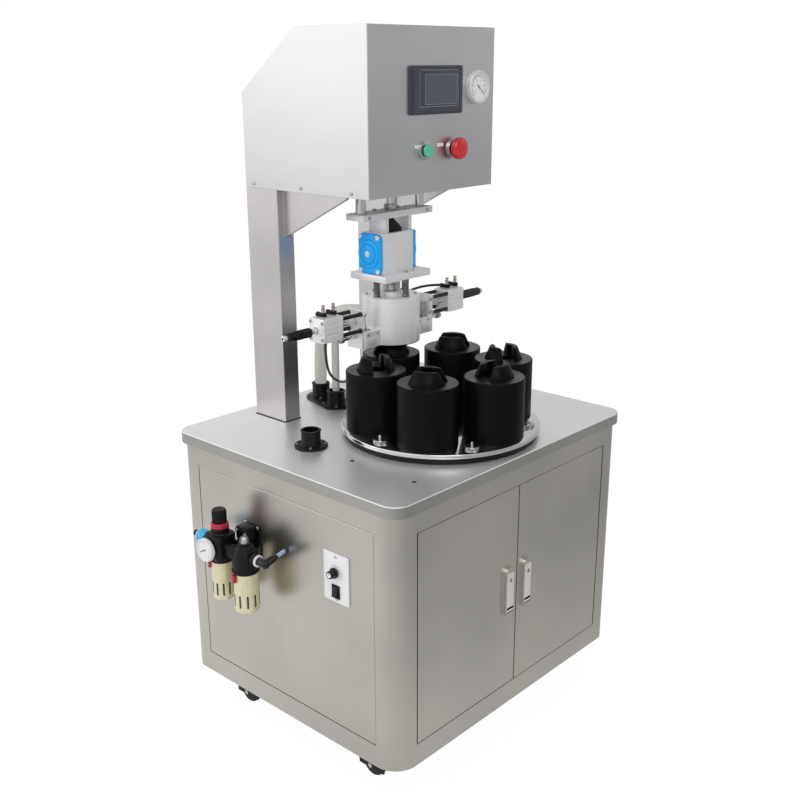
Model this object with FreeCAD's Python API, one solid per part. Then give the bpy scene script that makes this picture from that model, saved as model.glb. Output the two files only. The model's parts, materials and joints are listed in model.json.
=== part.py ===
"""Vacuum capping machine: mobile cabinet, six-station turntable, press head with vacuum chamber.

Millimetres, +Z up. The front with the double doors faces -Y, the air service unit is on -X.
The origin is the middle of the bounding box's bottom face, on the floor.
"""
import FreeCAD, Part
import math
import os

from FreeCAD import Vector

# Cabinet
cabinet_width = 700.0
cabinet_depth = 600.0
worktop_height = 600.0
worktop_thickness = 22.0
worktop_overhang = 8.0
worktop_corner_radius = 34.0
worktop_edge_break = 1.5
accessory_hole_radius = 4.5
accessory_hole_inset = 114.0
accessory_hole_front_inset = 63.0
accessory_hole_pitch = 152.0
caster_height = 75.0
post_width = 52.0
post_corner_radius = 25.0
frame_wall = 5.0
top_rail_height = 40.0
bottom_rail_height = 44.0
rail_depth = 24.0
floor_thickness = 4.0
panel_thickness = 2.5
panel_ledge = 12.0
panel_seam = 1.0

# Doors
door_thickness = 18.0
door_sheet = 2.0
door_seam = 3.0
door_hinge_inset = 6.0
hinge_pin_radius = 2.5
hinge_pin_length = 12.0
latch_width = 28.0
latch_height = 105.0
latch_depth = 7.0
latch_offset = 28.0
latch_drop = 274.0
lever_width = 20.0
lever_length = 84.0
lever_thickness = 5.0
cup_radius = 4.0
cup_drop = 18.0

# Casters
wheel_radius = 25.0
wheel_width = 18.0
tyre_shoulder = 3.0
hood_gap = 7.0
hood_drop = 8.0
axle_radius = 4.0
caster_trail = 20.0
caster_inset_x = 60.0
caster_inset_y = 90.0
caster_turns = (90.0, 90.0, -90.0, -90.0)
fork_cheek = 4.0
swivel_radius = 17.0
stem_radius = 6.0
stem_length = 22.0

# Columns and head
column_width = 40.0
column_depth = 90.0
column_wall = 3.0
column_height = 464.0
column_back_inset = 42.0
gusset_thickness = 9.0
gusset_reach = 170.0
gusset_drop = 92.0
head_width = 346.0
head_depth = 333.0
head_height = 290.0
head_slope_run = 152.0
head_slope_drop = 114.0
head_sheet = 2.0
head_floor_thickness = 8.0

# Operator controls on the head front
hmi_width = 142.0
hmi_height = 84.0
hmi_depth = 8.0
hmi_center_x = 2.0
hmi_center_up = 181.0
screen_width = 104.0
screen_height = 59.0
screen_recess = 1.0
gauge_radius = 30.0
gauge_depth = 12.0
gauge_center_x = 118.0
gauge_center_up = 184.0
start_center_x = -28.0
estop_center_x = 54.0
button_center_up = 76.0
start_radius = 13.0
start_travel = 3.0
start_height = 6.0
start_stem = 6.0
estop_radius = 20.0
estop_travel = 4.0
estop_neck = 14.0
estop_height = 11.0
estop_skirt = 7.0
estop_stem = 7.0
button_tail = 6.0
button_collar_radius = 16.0
button_collar_depth = 4.0

# Turntable
turntable_center_y = -95.0
turntable_radius = 195.0
turntable_thickness = 8.0
turntable_edge_break = 1.5
base_ring_radius = 186.0
base_ring_height = 12.0
station_count = 6
pitch_radius = 131.0
holder_radius = 57.5
holder_height = 117.0
holder_edge_break = 2.0
holder_bore_radius = 17.0
holder_bore_depth = 95.0
collar_base_radius = 37.0
collar_top_radius = 27.0
collar_height = 24.0
collar_slot_width = 28.0
rim_post_radius = 9.0
rim_post_height = 5.0
rim_pin_radius = 2.5
rim_pin_height = 9.0
rim_post_circle = 178.0
shaft_radius = 20.0
drive_side = 150.0
drive_height = 110.0
motor_radius = 45.0
motor_length = 150.0

# Press head, heights measured from the underside of the vacuum chamber
chamber_rest_gap = 2.0
chamber_radius = 57.5
chamber_wall = 5.0
chamber_height = 79.0
side_block_width = 44.0
side_block_height = 32.0
side_plate_x = 95.0
side_plate_thickness = 8.0
side_plate_width = 40.0
side_plate_height = 76.0
jaw_window_width = 26.0
jaw_window_bottom = 4.0
jaw_window_height = 22.0
lid_thickness = 12.0
standoff_length = 35.0
standoff_radius = 6.0
standoff_circle = 40.0
lower_plate_width = 130.0
lower_plate_depth = 94.0
lower_plate_thickness = 13.0
actuator_length = 86.0
actuator_depth = 58.0
actuator_height = 78.0
actuator_shift_x = -9.0
end_cap_thickness = 9.0
end_cap_bulge = 5.0
end_cap_corner = 8.0
end_screw_radius = 4.5
yoke_height = 27.0
yoke_thickness = 9.0
yoke_spacing = 74.0
upper_plate_width = 196.0
upper_plate_depth = 46.0
upper_plate_thickness = 12.5
guide_rod_radius = 10.0
guide_rod_spacing = 164.0
guide_rod_length = 150.0
bush_radius = 17.0
bush_length = 30.0
sliding_clearance = 0.3
piston_rod_radius = 9.0
rod_nut_radius = 14.0
rod_nut_height = 11.0
piston_radius = 24.0
piston_height = 12.0
piston_clearance = 4.0
press_cylinder_radius = 32.0
press_bore_radius = 24.5
press_cap_thickness = 10.0
press_flange_rim = 8.0
press_travel_up = 18.0
chuck_radius = 20.0
chuck_height = 26.0
spindle_radius = 10.0

# Side clamps
clamp_axis_up = 53.0
clamp_body_length = 50.0
clamp_body_width = 40.0
clamp_body_height = 46.0
clamp_body_edge = 3.0
spacer_length = 50.0
spacer_radius = 4.0
spacer_pitch = 32.0
clamp_rod_radius = 6.0
fitting_margin = 12.0
fitting_offset = 6.0
fitting_radius = 6.5
fitting_height = 9.0
fitting_length = 16.0
flow_knob_radius = 4.0
flow_knob_height = 15.0
jaw_width = 22.0
jaw_height = 12.0
jaw_thickness = 10.0
jaw_rest_x = 42.0
jaw_travel = 14.0
jaw_end_gap = 2.0
jaw_bottom = 6.0
jaw_guide_radius = 5.0
jaw_guide_up = 24.0
knob_radius = 7.0
knob_length = 75.0

# Hose spigots and hoses
spigot_flange_radius = 32.0
spigot_flange_height = 5.0
spigot_radius = 18.5
spigot_wall = 3.0
spigot_height = 34.0
front_spigot_inset = 116.0
front_spigot_y = 27.0
rear_spigot_a = (-7.0, 239.0)
rear_spigot_b = (-26.0, 172.0)
hose_large_radius = 13.0
hose_small_radius = 8.0
port_reach = 10.0
port_up = 44.0
port_a_x = -2.0
port_b_x = -38.0
cable_radius = 2.5
cable_hole = (18.0, 186.0)

# Air service unit on the left side
frl_reach = 50.0
frl_back_inset = 176.0
frl_half_arm = 11.0
frl_body_edge = 6.0
frl_pitch = 72.0
frl_axis_drop = 176.0
frl_body_radius = 23.0
frl_body_height = 54.0
regulator_bowl_radius = 20.0
lubricator_bowl_radius = 24.0
bowl_length = 86.0
bowl_rounding = 6.0
drain_radius = 5.0
drain_length = 3.0
knob_ring_radius = 17.0
knob_ring_height = 15.0
knob_cap_radius = 14.0
knob_cap_height = 26.0
sight_dome_radius = 9.0
sight_dome_height = 18.0
outlet_port_radius = 12.0
outlet_port_length = 14.0
elbow_radius = 9.0
outlet_socket_radius = 7.5
elbow_length = 30.0
outlet_tube_radius = 4.0
outlet_rise = 11.0
grommet_length = 4.0
line_gauge_radius = 24.0
line_gauge_depth = 14.0
frl_half_link = 12.0
frl_bracket_thickness = 4.0
bracket_width = 48.0
bracket_height = 78.0
inlet_port_radius = 13.0
valve_start = 12.0
pipe_radius = 8.0
pipe_bore_radius = 4.5
valve_length = 22.0
valve_room = 20.0
valve_radius = 14.0

# Speed control on the left side
speed_plate_width = 62.0
speed_plate_height = 95.0
speed_plate_thickness = 3.0
speed_plate_front_inset = 143.0
speed_plate_drop = 175.0
speed_knob_radius = 10.0
speed_knob_height = 14.0
rocker_width = 13.0
rocker_height = 22.0
speed_knob_up = 12.0
rocker_drop = 26.0

# Values that follow from the sizes above
body_width = cabinet_width - 2 * worktop_overhang
body_depth = cabinet_depth - 2 * worktop_overhang
frame_top = worktop_height - worktop_thickness
opening_bottom = caster_height + bottom_rail_height
opening_top = frame_top - top_rail_height
head_bottom = worktop_height + column_height
head_back = cabinet_depth / 2 - column_back_inset
head_front = head_back - head_depth
turntable_top = worktop_height + base_ring_height + sliding_clearance + turntable_thickness
holder_top = turntable_top + holder_height
press_y = turntable_center_y + pitch_radius
press_travel_down = collar_height + chamber_rest_gap
chamber_bottom = holder_top + press_travel_down + chamber_rest_gap
press_bore_length = press_travel_down + press_travel_up + piston_height + 2 * piston_clearance
lid_bottom = chamber_bottom + chamber_height
lid_top = lid_bottom + lid_thickness
lower_plate_bottom = lid_top + standoff_length
lower_plate_top = lower_plate_bottom + lower_plate_thickness
actuator_top = lower_plate_top + actuator_height
upper_plate_bottom = actuator_top + yoke_height
upper_plate_top = upper_plate_bottom + upper_plate_thickness
clamp_z = chamber_bottom + clamp_axis_up
front_spigot = (front_spigot_inset - cabinet_width / 2, front_spigot_y)
frl_axis_x = -body_width / 2 - frl_reach
frl_regulator_y = body_depth / 2 - frl_back_inset
frl_z = worktop_height - frl_axis_drop
speed_plate_y = speed_plate_front_inset - body_depth / 2
speed_plate_z = worktop_height - speed_plate_drop


def box(x0, x1, y0, y1, z0, z1):
    """Block between two corners."""
    return Part.makeBox(x1 - x0, y1 - y0, z1 - z0, Vector(x0, y0, z0))


def rod(radius, length, at, along=Vector(0, 0, 1)):
    """Round bar from a point along a direction."""
    return Part.makeCylinder(radius, length, Vector(*at), along)


def ring(outer, inner, length, at, along=Vector(0, 0, 1)):
    """Round tube from a point along a direction."""
    return rod(outer, length, at, along).cut(rod(inner, length, at, along))


def join(first, *others):
    """One clean solid from pieces that meet."""
    return first.fuse(list(others)).removeSplitter()


def round_edges(shape, radius, along):
    """Rounds the straight edges that run along a direction."""
    chosen = []
    for edge in shape.Edges:
        if isinstance(edge.Curve, Part.Line):
            if abs(edge.tangentAt(edge.FirstParameter).dot(along)) > 0.999:
                chosen.append(edge)
    return shape.makeFillet(radius, chosen)


def chamfer_rim(shape, size, height):
    """Breaks the edges that lie at a height."""
    chosen = [edge for edge in shape.Edges if edge.BoundBox.ZMin > height - 0.01]
    return shape.makeChamfer(size, chosen)


def prism(points, push):
    """Solid from a closed flat outline and the direction it is pushed along."""
    wire = Part.makePolygon([Vector(*p) for p in points + points[:1]])
    return Part.Face(wire).extrude(Vector(*push))


def revolve(profile, at):
    """Solid turned about a vertical axis from (radius, height) pairs."""
    points = [Vector(at[0] + r, at[1], at[2] + h) for r, h in profile]
    wire = Part.makePolygon(points + points[:1])
    return Part.Face(wire).revolve(Vector(*at), Vector(0, 0, 1), 360)


def path_tube(radius, points):
    """Round tube along straight runs that are joined by tangent arcs."""
    points = [Vector(*p) for p in points]
    edges = []
    start = points[0]
    for before, corner, after in zip(points, points[1:], points[2:]):
        arrive = (corner - before).normalize()
        leave = (after - corner).normalize()
        turn = arrive.getAngle(leave)
        reach = 0.45 * min((corner - before).Length, (after - corner).Length)
        bend_in = corner - arrive * reach
        bend_out = corner + leave * reach
        pull = (leave - arrive).normalize()
        sweep = reach / math.tan(turn / 2)
        centre = bend_in + (pull - arrive * pull.dot(arrive)).normalize() * sweep
        middle = centre + (corner - centre).normalize() * sweep
        print("bend radius", round(sweep, 1), "for tube radius", radius)
        edges.append(Part.LineSegment(start, bend_in).toShape())
        edges.append(Part.Arc(bend_in, middle, bend_out).toShape())
        start = bend_out
    edges.append(Part.LineSegment(start, points[-1]).toShape())
    spine = Part.Wire(edges)
    circle = Part.makeCircle(radius, points[0], points[1] - points[0])
    return spine.makePipeShell([Part.Wire(circle)], True, False)


def cabinet_frame():
    """Bent sheet frame with rounded posts, rails, floor and rebated openings."""
    w = body_width / 2
    d = body_depth / 2
    up = Vector(0, 0, 1)
    outer = round_edges(box(-w, w, -d, d, caster_height, frame_top), post_corner_radius, up)
    wi = w - frame_wall
    di = d - frame_wall
    hollow = box(-wi, wi, -di, di, caster_height + floor_thickness, frame_top)
    frame = outer.cut(round_edges(hollow, post_corner_radius - frame_wall, up))
    side = d - post_width
    front = w - post_width
    ledge = panel_ledge
    low = opening_bottom
    high = opening_top
    for sx in (-1, 1):
        face = sx * w
        through = box(min(face, face - sx * 2 * frame_wall), max(face, face - sx * 2 * frame_wall),
                      -side + ledge, side - ledge, low + ledge, high - ledge)
        rebate = box(min(face, face - sx * panel_thickness), max(face, face - sx * panel_thickness),
                     -side, side, low, high)
        frame = frame.cut(through).cut(rebate)
    frame = frame.cut(box(-front + ledge, front - ledge, d - 2 * frame_wall, d, low + ledge, high - ledge))
    frame = frame.cut(box(-front, front, d - panel_thickness, d, low, high))
    frame = frame.cut(box(-front, front, -d, -d + 2 * frame_wall, low, high))
    back = -d + frame_wall + rail_depth
    top_rail = box(-wi, wi, -d + frame_wall / 2, back, high, frame_top)
    bottom_rail = box(-wi, wi, -d + frame_wall / 2, back, caster_height, low)
    frame = join(frame, top_rail, bottom_rail)
    reach = hinge_pin_length + sliding_clearance
    for sx in (-1, 1):
        x, y = hinge_axis(sx)
        hole = rod(hinge_pin_radius + sliding_clearance, reach, (x, y, high))
        frame = frame.cut(hole).cut(hole.translated(Vector(0, 0, low - reach - high)))
    for x, y in caster_places():
        boss = rod(swivel_radius, stem_length + 3, (x, y, caster_height))
        frame = frame.fuse(boss)
        frame = frame.cut(rod(stem_radius + sliding_clearance, stem_length, (x, y, caster_height)))
    return frame.removeSplitter()


def side_panel(sx):
    """Sheet panel that lies in the rebate of a side opening."""
    half = body_depth / 2 - post_width - panel_seam
    face = sx * body_width / 2
    inner = face - sx * panel_thickness
    panel = box(min(face, inner), max(face, inner), -half, half,
                opening_bottom + panel_seam, opening_top - panel_seam)
    return panel


def rear_panel():
    """Sheet panel that lies in the rebate of the rear opening."""
    half = body_width / 2 - post_width - panel_seam
    face = body_depth / 2
    return box(-half, half, face - panel_thickness, face,
               opening_bottom + panel_seam, opening_top - panel_seam)


def hinge_axis(sx):
    """Place of a door's hinge pins, seen from above."""
    x = sx * (body_width / 2 - post_width - door_seam - door_hinge_inset)
    return x, -body_depth / 2 + door_hinge_inset


def caster_places():
    """Places of the four caster stems, seen from above."""
    x = body_width / 2 - caster_inset_x
    y = body_depth / 2 - caster_inset_y
    return [(-x, -y), (x, -y), (-x, y), (x, y)]


def door(sx):
    """Folded door pan with its latch housing and two hinge pins."""
    front = -body_depth / 2
    outer = sx * (body_width / 2 - post_width - door_seam)
    inner = sx * door_seam / 2
    low = opening_bottom + door_seam / 2
    high = opening_top - door_seam / 2
    x0 = min(outer, inner)
    x1 = max(outer, inner)
    pan = box(x0, x1, front, front + door_thickness, low, high)
    edge = door_sheet + door_hinge_inset + hinge_pin_radius
    pan = pan.cut(box(x0 + edge, x1 - edge, front + door_sheet, front + door_thickness,
                      low + edge, high - edge))
    x, y = hinge_axis(sx)
    for z in (high, low - hinge_pin_length):
        pan = pan.fuse(rod(hinge_pin_radius, hinge_pin_length, (x, y, z)))
    cx = sx * latch_offset
    cz = worktop_height - latch_drop
    half = latch_width / 2
    housing = box(cx - half, cx + half, front - latch_depth, front,
                  cz - latch_height / 2, cz + latch_height / 2)
    housing = round_edges(housing, half - 1, Vector(0, 1, 0))
    pan = pan.fuse(housing)
    pocket = box(cx - lever_width / 2 - 1, cx + lever_width / 2 + 1, front - latch_depth, front - 1,
                 cz - lever_length / 2 - 1, cz + lever_length / 2 + 1)
    return pan.cut(pocket).removeSplitter()


def lever_axis(sx):
    """Place of a latch lever's pivot, at its lower end."""
    z = worktop_height - latch_drop - lever_length / 2 + lever_thickness
    return sx * latch_offset, -body_depth / 2 - 1 - lever_thickness / 2 - sliding_clearance, z


def latch_lever(sx):
    """Flush lever with a pivot bar at its foot and a keyhole near the top."""
    x, y, z = lever_axis(sx)
    half = lever_width / 2
    r = lever_thickness / 2
    arm = box(x - half, x + half, y - r, y + r, z, z + lever_length - lever_thickness - r)
    foot = rod(r, lever_width + 2, (x - half - 1, y, z), Vector(1, 0, 0))
    cup = rod(cup_radius, lever_thickness, (x, y - r, z + lever_length - cup_drop), Vector(0, 1, 0))
    return join(arm.cut(cup), foot)


def worktop():
    """Thick steel top with the shaft hole, hose passages and two accessory holes."""
    w = cabinet_width / 2
    d = cabinet_depth / 2
    plate = box(-w, w, -d, d, frame_top, worktop_height)
    plate = round_edges(plate, worktop_corner_radius, Vector(0, 0, 1))
    plate = chamfer_rim(plate, worktop_edge_break, worktop_height)
    cuts = [rod(shaft_radius + 1, worktop_thickness, (0, turntable_center_y, frame_top))]
    for x, y in (front_spigot, rear_spigot_a, rear_spigot_b):
        cuts.append(rod(spigot_radius - spigot_wall, worktop_thickness, (x, y, frame_top)))
    for x, y in accessory_holes():
        cuts.append(rod(accessory_hole_radius, worktop_thickness, (x, y, frame_top)))
    x, y = cable_hole
    cuts.append(rod(cable_radius + 1, worktop_thickness, (x, y, frame_top)))
    return plate.cut(cuts)


def accessory_holes():
    """Two through holes for a feeding table beside the turntable."""
    x = accessory_hole_inset - cabinet_width / 2
    y = accessory_hole_front_inset - cabinet_depth / 2
    return [(x, y), (x, y + accessory_hole_pitch)]


def column(sx):
    """Rectangular tube with a welded triangular gusset under the head."""
    outer = sx * head_width / 2
    inner = outer - sx * column_width
    x0 = min(outer, inner)
    x1 = max(outer, inner)
    front = head_back - column_depth
    tube = round_edges(box(x0, x1, front, head_back, worktop_height, head_bottom), 2.0, Vector(0, 0, 1))
    t = column_wall
    tube = tube.cut(box(x0 + t, x1 - t, front + t, head_back - t, worktop_height, head_bottom))
    middle = (x0 + x1) / 2 - gusset_thickness / 2
    tip = 6.0
    outline = [(middle, front + 0.5, head_bottom), (middle, front - gusset_reach, head_bottom),
               (middle, front - gusset_reach, head_bottom - tip),
               (middle, front + 0.5, head_bottom - gusset_drop)]
    return join(tube, prism(outline, (gusset_thickness, 0, 0)))


def head_cover():
    """Sheet cover with a sloped rear, open below, with cut-outs for the controls."""
    def outline(inset, bottom):
        y0 = head_front + inset
        y1 = head_back - inset
        top = head_bottom + head_height - inset
        slope = head_bottom + head_height - head_slope_drop - inset * 0.4
        x = -head_width / 2 + inset
        edge = y1 - head_slope_run + inset * 0.4
        return [(x, y0, bottom), (x, y1, bottom), (x, y1, slope), (x, edge, top), (x, y0, top)]
    shell = prism(outline(0, head_bottom), (head_width, 0, 0))
    shell = round_edges(shell, 2.0, Vector(0, 0, 1))
    shell = shell.cut(prism(outline(head_sheet, head_bottom), (head_width - 2 * head_sheet, 0, 0)))
    z = head_bottom + button_center_up
    cuts = []
    for x, radius in ((start_center_x, start_stem), (estop_center_x, estop_stem)):
        collar = rod(button_collar_radius, button_collar_depth, (x, head_front, z), Vector(0, -1, 0))
        shell = shell.fuse(collar)
        cuts.append(rod(radius + sliding_clearance, 20.0, (x, head_front - 10, z), Vector(0, 1, 0)))
    return shell.cut(cuts).removeSplitter()


def head_floor():
    """Plate that closes the head from below, with two guide bushes and the rod opening."""
    w = head_width / 2 - head_sheet - 0.2
    y0 = head_front + head_sheet + 0.2
    y1 = head_back - head_sheet - 0.2
    plate = box(-w, w, y0, y1, head_bottom, head_bottom + head_floor_thickness)
    for sx in (-1, 1):
        x = sx * guide_rod_spacing / 2
        bush = rod(bush_radius, bush_length, (x, press_y, head_bottom))
        plate = plate.fuse(bush)
        plate = plate.cut(rod(guide_rod_radius + sliding_clearance, bush_length, (x, press_y, head_bottom)))
    hole = rod(piston_rod_radius + sliding_clearance, head_floor_thickness, (0, press_y, head_bottom))
    return plate.cut(hole).removeSplitter()


def press_cylinder():
    """Pneumatic cylinder on the head floor, hollow for the piston's travel."""
    z0 = head_bottom + head_floor_thickness
    length = press_bore_length + 2 * press_cap_thickness
    at = (0, press_y, z0)
    body = rod(press_cylinder_radius, length, at)
    bore = rod(press_bore_radius, press_bore_length, (0, press_y, z0 + press_cap_thickness))
    gland = rod(piston_rod_radius + sliding_clearance, press_cap_thickness, at)
    side = press_cylinder_radius + press_flange_rim
    flange = box(-side, side, press_y - side, press_y + side, z0, z0 + 6)
    return join(body, flange).cut(bore).cut(gland)


def operator_panel():
    """Touch panel case with a sunken screen."""
    cx = hmi_center_x
    cz = head_bottom + hmi_center_up
    x0 = cx - hmi_width / 2
    x1 = cx + hmi_width / 2
    z0 = cz - hmi_height / 2
    z1 = cz + hmi_height / 2
    case = box(x0, x1, head_front - hmi_depth, head_front, z0, z1)
    case = round_edges(case, 4.0, Vector(0, 1, 0))
    screen = box(cx - screen_width / 2 + 4, cx + screen_width / 2 + 4, head_front - hmi_depth,
                 head_front - hmi_depth + screen_recess, cz - screen_height / 2, cz + screen_height / 2)
    return case.cut(screen)


def vacuum_gauge():
    """Round gauge with a raised rim, a sunken dial and a pointer."""
    cx = gauge_center_x
    cz = head_bottom + gauge_center_up
    along = Vector(0, -1, 0)
    case = rod(gauge_radius, gauge_depth, (cx, head_front, cz), along)
    dial = rod(gauge_radius - 3, 4, (cx, head_front - gauge_depth + 4, cz), along)
    case = case.cut(dial)
    hub = rod(3.0, 2.0, (cx, head_front - gauge_depth + 4, cz), along)
    pointer = box(cx - 0.8, cx + 0.8, head_front - gauge_depth + 2.6, head_front - gauge_depth + 4,
                  cz - 4, cz + gauge_radius - 9)
    pointer.rotate(Vector(cx, 0, cz), Vector(0, 1, 0), 40)
    return join(case, hub, pointer)


def start_button():
    """Round push button on a plain stem."""
    z = head_bottom + button_center_up
    along = Vector(0, -1, 0)
    back = head_front - button_collar_depth - start_travel - 1.0
    cap = rod(start_radius, start_height, (start_center_x, back, z), along)
    rear = head_front + head_sheet + button_tail
    stem = rod(start_stem, rear - back, (start_center_x, rear, z), along)
    return join(cap, stem)


def estop_button():
    """Mushroom head with a domed face on its stem."""
    z = head_bottom + button_center_up
    along = Vector(0, -1, 0)
    back = head_front - button_collar_depth - estop_travel - estop_neck
    crown = estop_height - estop_skirt
    skirt = rod(estop_radius, estop_skirt, (estop_center_x, back, z), along)
    top = Vector(estop_center_x, back - estop_skirt, z)
    dome = Part.makeCone(estop_radius, estop_radius - crown, crown, top, along)
    rear = head_front + head_sheet + button_tail
    stem = rod(estop_stem, rear - back + estop_skirt, (estop_center_x, rear, z), along)
    return join(skirt, dome, stem)


def turntable_base():
    """Black ring that carries the turntable on the worktop."""
    at = (0, turntable_center_y, worktop_height)
    return ring(base_ring_radius, shaft_radius + 1, base_ring_height, at)


def station_angle(index):
    """Angle of a station; the first one is under the press."""
    return math.radians(90 + index * 360.0 / station_count)


def turntable_disc():
    """Polished plate with its shaft and the stop posts between the stations."""
    z = turntable_top - turntable_thickness
    disc = rod(turntable_radius, turntable_thickness, (0, turntable_center_y, z))
    disc = chamfer_rim(disc, turntable_edge_break, turntable_top)
    depth = worktop_thickness + base_ring_height + 25
    shaft = rod(shaft_radius, depth + turntable_thickness, (0, turntable_center_y, z - depth))
    posts = [shaft]
    for index in range(station_count):
        angle = station_angle(index + 0.5)
        x = rim_post_circle * math.cos(angle)
        y = turntable_center_y + rim_post_circle * math.sin(angle)
        posts.append(rod(rim_post_radius, rim_post_height, (x, y, turntable_top)))
        posts.append(rod(rim_pin_radius, rim_post_height + rim_pin_height, (x, y, turntable_top)))
    return join(disc, *posts)


def holder(index):
    """Jar holder with a conical collar that is slotted along the direction of travel."""
    top = holder_height + collar_height
    floor = holder_height - holder_bore_depth
    profile = [(0, 0), (holder_radius, 0), (holder_radius, holder_height - holder_edge_break),
               (holder_radius - holder_edge_break, holder_height), (collar_base_radius, holder_height),
               (collar_top_radius, top), (holder_bore_radius, top), (holder_bore_radius, floor), (0, floor)]
    body = revolve(profile, (pitch_radius, 0, 0))
    half = collar_slot_width / 2
    slot = box(pitch_radius - half, pitch_radius + half, -holder_radius, holder_radius,
               holder_height, holder_height + collar_height)
    body = body.cut(slot)
    body.rotate(Vector(0, 0, 0), Vector(0, 0, 1), math.degrees(station_angle(index)))
    body.translate(Vector(0, turntable_center_y, turntable_top))
    return body


def index_drive():
    """Cam indexer under the worktop with its side-mounted motor."""
    top = frame_top
    half = drive_side / 2
    y = turntable_center_y
    case = box(-half, half, y - half, y + half, top - drive_height, top)
    case = round_edges(case, 10.0, Vector(0, 0, 1))
    case = case.cut(rod(shaft_radius + 1, 30, (0, y, top - 30)))
    motor = rod(motor_radius, motor_length, (half, y, top - drive_height / 2), Vector(1, 0, 0))
    return join(case, motor)


def upper_plate():
    """Cross plate with two guide rods above it and the yoke plates below it."""
    w = upper_plate_width / 2
    d = upper_plate_depth / 2
    plate = box(-w, w, press_y - d, press_y + d, upper_plate_bottom, upper_plate_top)
    plate = plate.cut(rod(piston_rod_radius, upper_plate_thickness, (0, press_y, upper_plate_bottom)))
    parts = []
    for sx in (-1, 1):
        x = sx * guide_rod_spacing / 2
        parts.append(rod(guide_rod_radius, guide_rod_length, (x, press_y, upper_plate_top)))
        cx = sx * (yoke_spacing - yoke_thickness) / 2
        parts.append(box(cx - yoke_thickness / 2, cx + yoke_thickness / 2, press_y - d + 1, press_y + d - 1,
                         actuator_top, upper_plate_bottom))
    return join(plate, *parts)


def piston_rod():
    """Rod with a hexagon nut on the cross plate and the piston in the cylinder."""
    bore_bottom = head_bottom + head_floor_thickness + press_cap_thickness
    piston_bottom = bore_bottom + press_travel_down + piston_clearance
    length = piston_bottom - upper_plate_bottom + piston_height
    shaft = rod(piston_rod_radius, length, (0, press_y, upper_plate_bottom))
    corners = []
    for step in range(6):
        angle = math.radians(60 * step)
        y = press_y + rod_nut_radius * math.sin(angle)
        corners.append((rod_nut_radius * math.cos(angle), y, upper_plate_top))
    nut = prism(corners, (0, 0, rod_nut_height))
    piston = rod(piston_radius, piston_height, (0, press_y, piston_bottom))
    return join(shaft, nut, piston)


def actuator_x(sx):
    """End face of the actuator body on one side."""
    return actuator_shift_x + sx * actuator_length / 2


def rotary_actuator():
    """Rack and pinion actuator body, stepped along its length."""
    d = actuator_depth / 2
    z0 = lower_plate_top
    z1 = actuator_top
    step = z0 + actuator_height * 0.55
    outline = [(actuator_x(-1), press_y - d, z0), (actuator_x(-1), press_y - d, step),
               (actuator_x(-1), press_y - d + 3, step + 3), (actuator_x(-1), press_y - d + 3, z1),
               (actuator_x(-1), press_y + d - 3, z1), (actuator_x(-1), press_y + d - 3, step + 3),
               (actuator_x(-1), press_y + d, step), (actuator_x(-1), press_y + d, z0)]
    return prism(outline, (actuator_length, 0, 0))


def end_cap(sx):
    """Rounded square cap with a bulged face and a centre screw."""
    d = actuator_depth / 2
    face = actuator_x(sx)
    side = face + sx * end_cap_thickness
    along = Vector(sx, 0, 0)
    cap = box(min(face, side), max(face, side), press_y - d, press_y + d, lower_plate_top, actuator_top)
    cap = round_edges(cap, end_cap_corner, Vector(1, 0, 0))
    cz = (lower_plate_top + actuator_top) / 2
    foot = Vector(side, press_y, cz)
    cap = cap.fuse(Part.makeCone(d - 1, d - 1 - end_cap_bulge, end_cap_bulge, foot, along))
    cap = cap.fuse(rod(end_screw_radius, end_cap_bulge + 2, (side, press_y, cz), along))
    return cap.removeSplitter()


def lower_plate():
    """Square plate under the actuator with four standoffs."""
    w = lower_plate_width / 2
    d = lower_plate_depth / 2
    plate = box(-w, w, press_y - d, press_y + d, lower_plate_bottom, lower_plate_top)
    hole = rod(spindle_radius + sliding_clearance, lower_plate_thickness, (0, press_y, lower_plate_bottom))
    plate = plate.cut(hole)
    legs = []
    for dx, dy in ((-1, 0), (1, 0), (0, -1), (0, 1)):
        x = dx * standoff_circle
        y = press_y + dy * standoff_circle
        legs.append(rod(standoff_radius, standoff_length, (x, y, lid_top)))
    return join(plate, *legs)


def chamber():
    """Vacuum bell with two side housings for the jaws and their end plates."""
    at = (0, press_y, chamber_bottom)
    body = rod(chamber_radius, chamber_height, at)
    half = side_block_width / 2
    block = box(-side_plate_x, side_plate_x, press_y - half, press_y + half,
                chamber_bottom, chamber_bottom + side_block_height)
    body = body.fuse(block)
    pw = side_plate_width / 2
    for sx in (-1, 1):
        x0 = sx * side_plate_x
        x1 = sx * (side_plate_x + side_plate_thickness)
        body = body.fuse(box(min(x0, x1), max(x0, x1), press_y - pw, press_y + pw,
                             chamber_bottom, chamber_bottom + side_plate_height))
    for port, radius in (hose_port(port_a_x), hose_large_radius), (hose_port(port_b_x), hose_small_radius):
        px, py, pz = port
        nipple = rod(radius, py - press_y, (px, press_y, pz), Vector(0, 1, 0))
        body = body.fuse(nipple)
    body = body.cut(rod(chamber_radius - chamber_wall, chamber_height, at))
    jw = jaw_window_width / 2
    sill = chamber_bottom + jaw_window_bottom
    body = body.cut(box(-side_plate_x, side_plate_x, press_y - jw, press_y + jw,
                        sill, sill + jaw_window_height))
    guide_z = chamber_bottom + jaw_guide_up
    slot = side_plate_x - jaw_thickness - 2 * jaw_end_gap - jaw_travel
    for sx in (-1, 1):
        along = Vector(sx, 0, 0)
        x0 = sx * slot
        x1 = sx * side_plate_x
        body = body.cut(box(min(x0, x1), max(x0, x1), press_y - jw, press_y + jw,
                            sill, chamber_bottom + side_block_height))
        for radius, z in ((clamp_rod_radius, clamp_z), (jaw_guide_radius, guide_z)):
            hole = rod(radius + sliding_clearance, side_plate_thickness, (x1, press_y, z), along)
            body = body.cut(hole)
    return body.removeSplitter()


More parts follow.
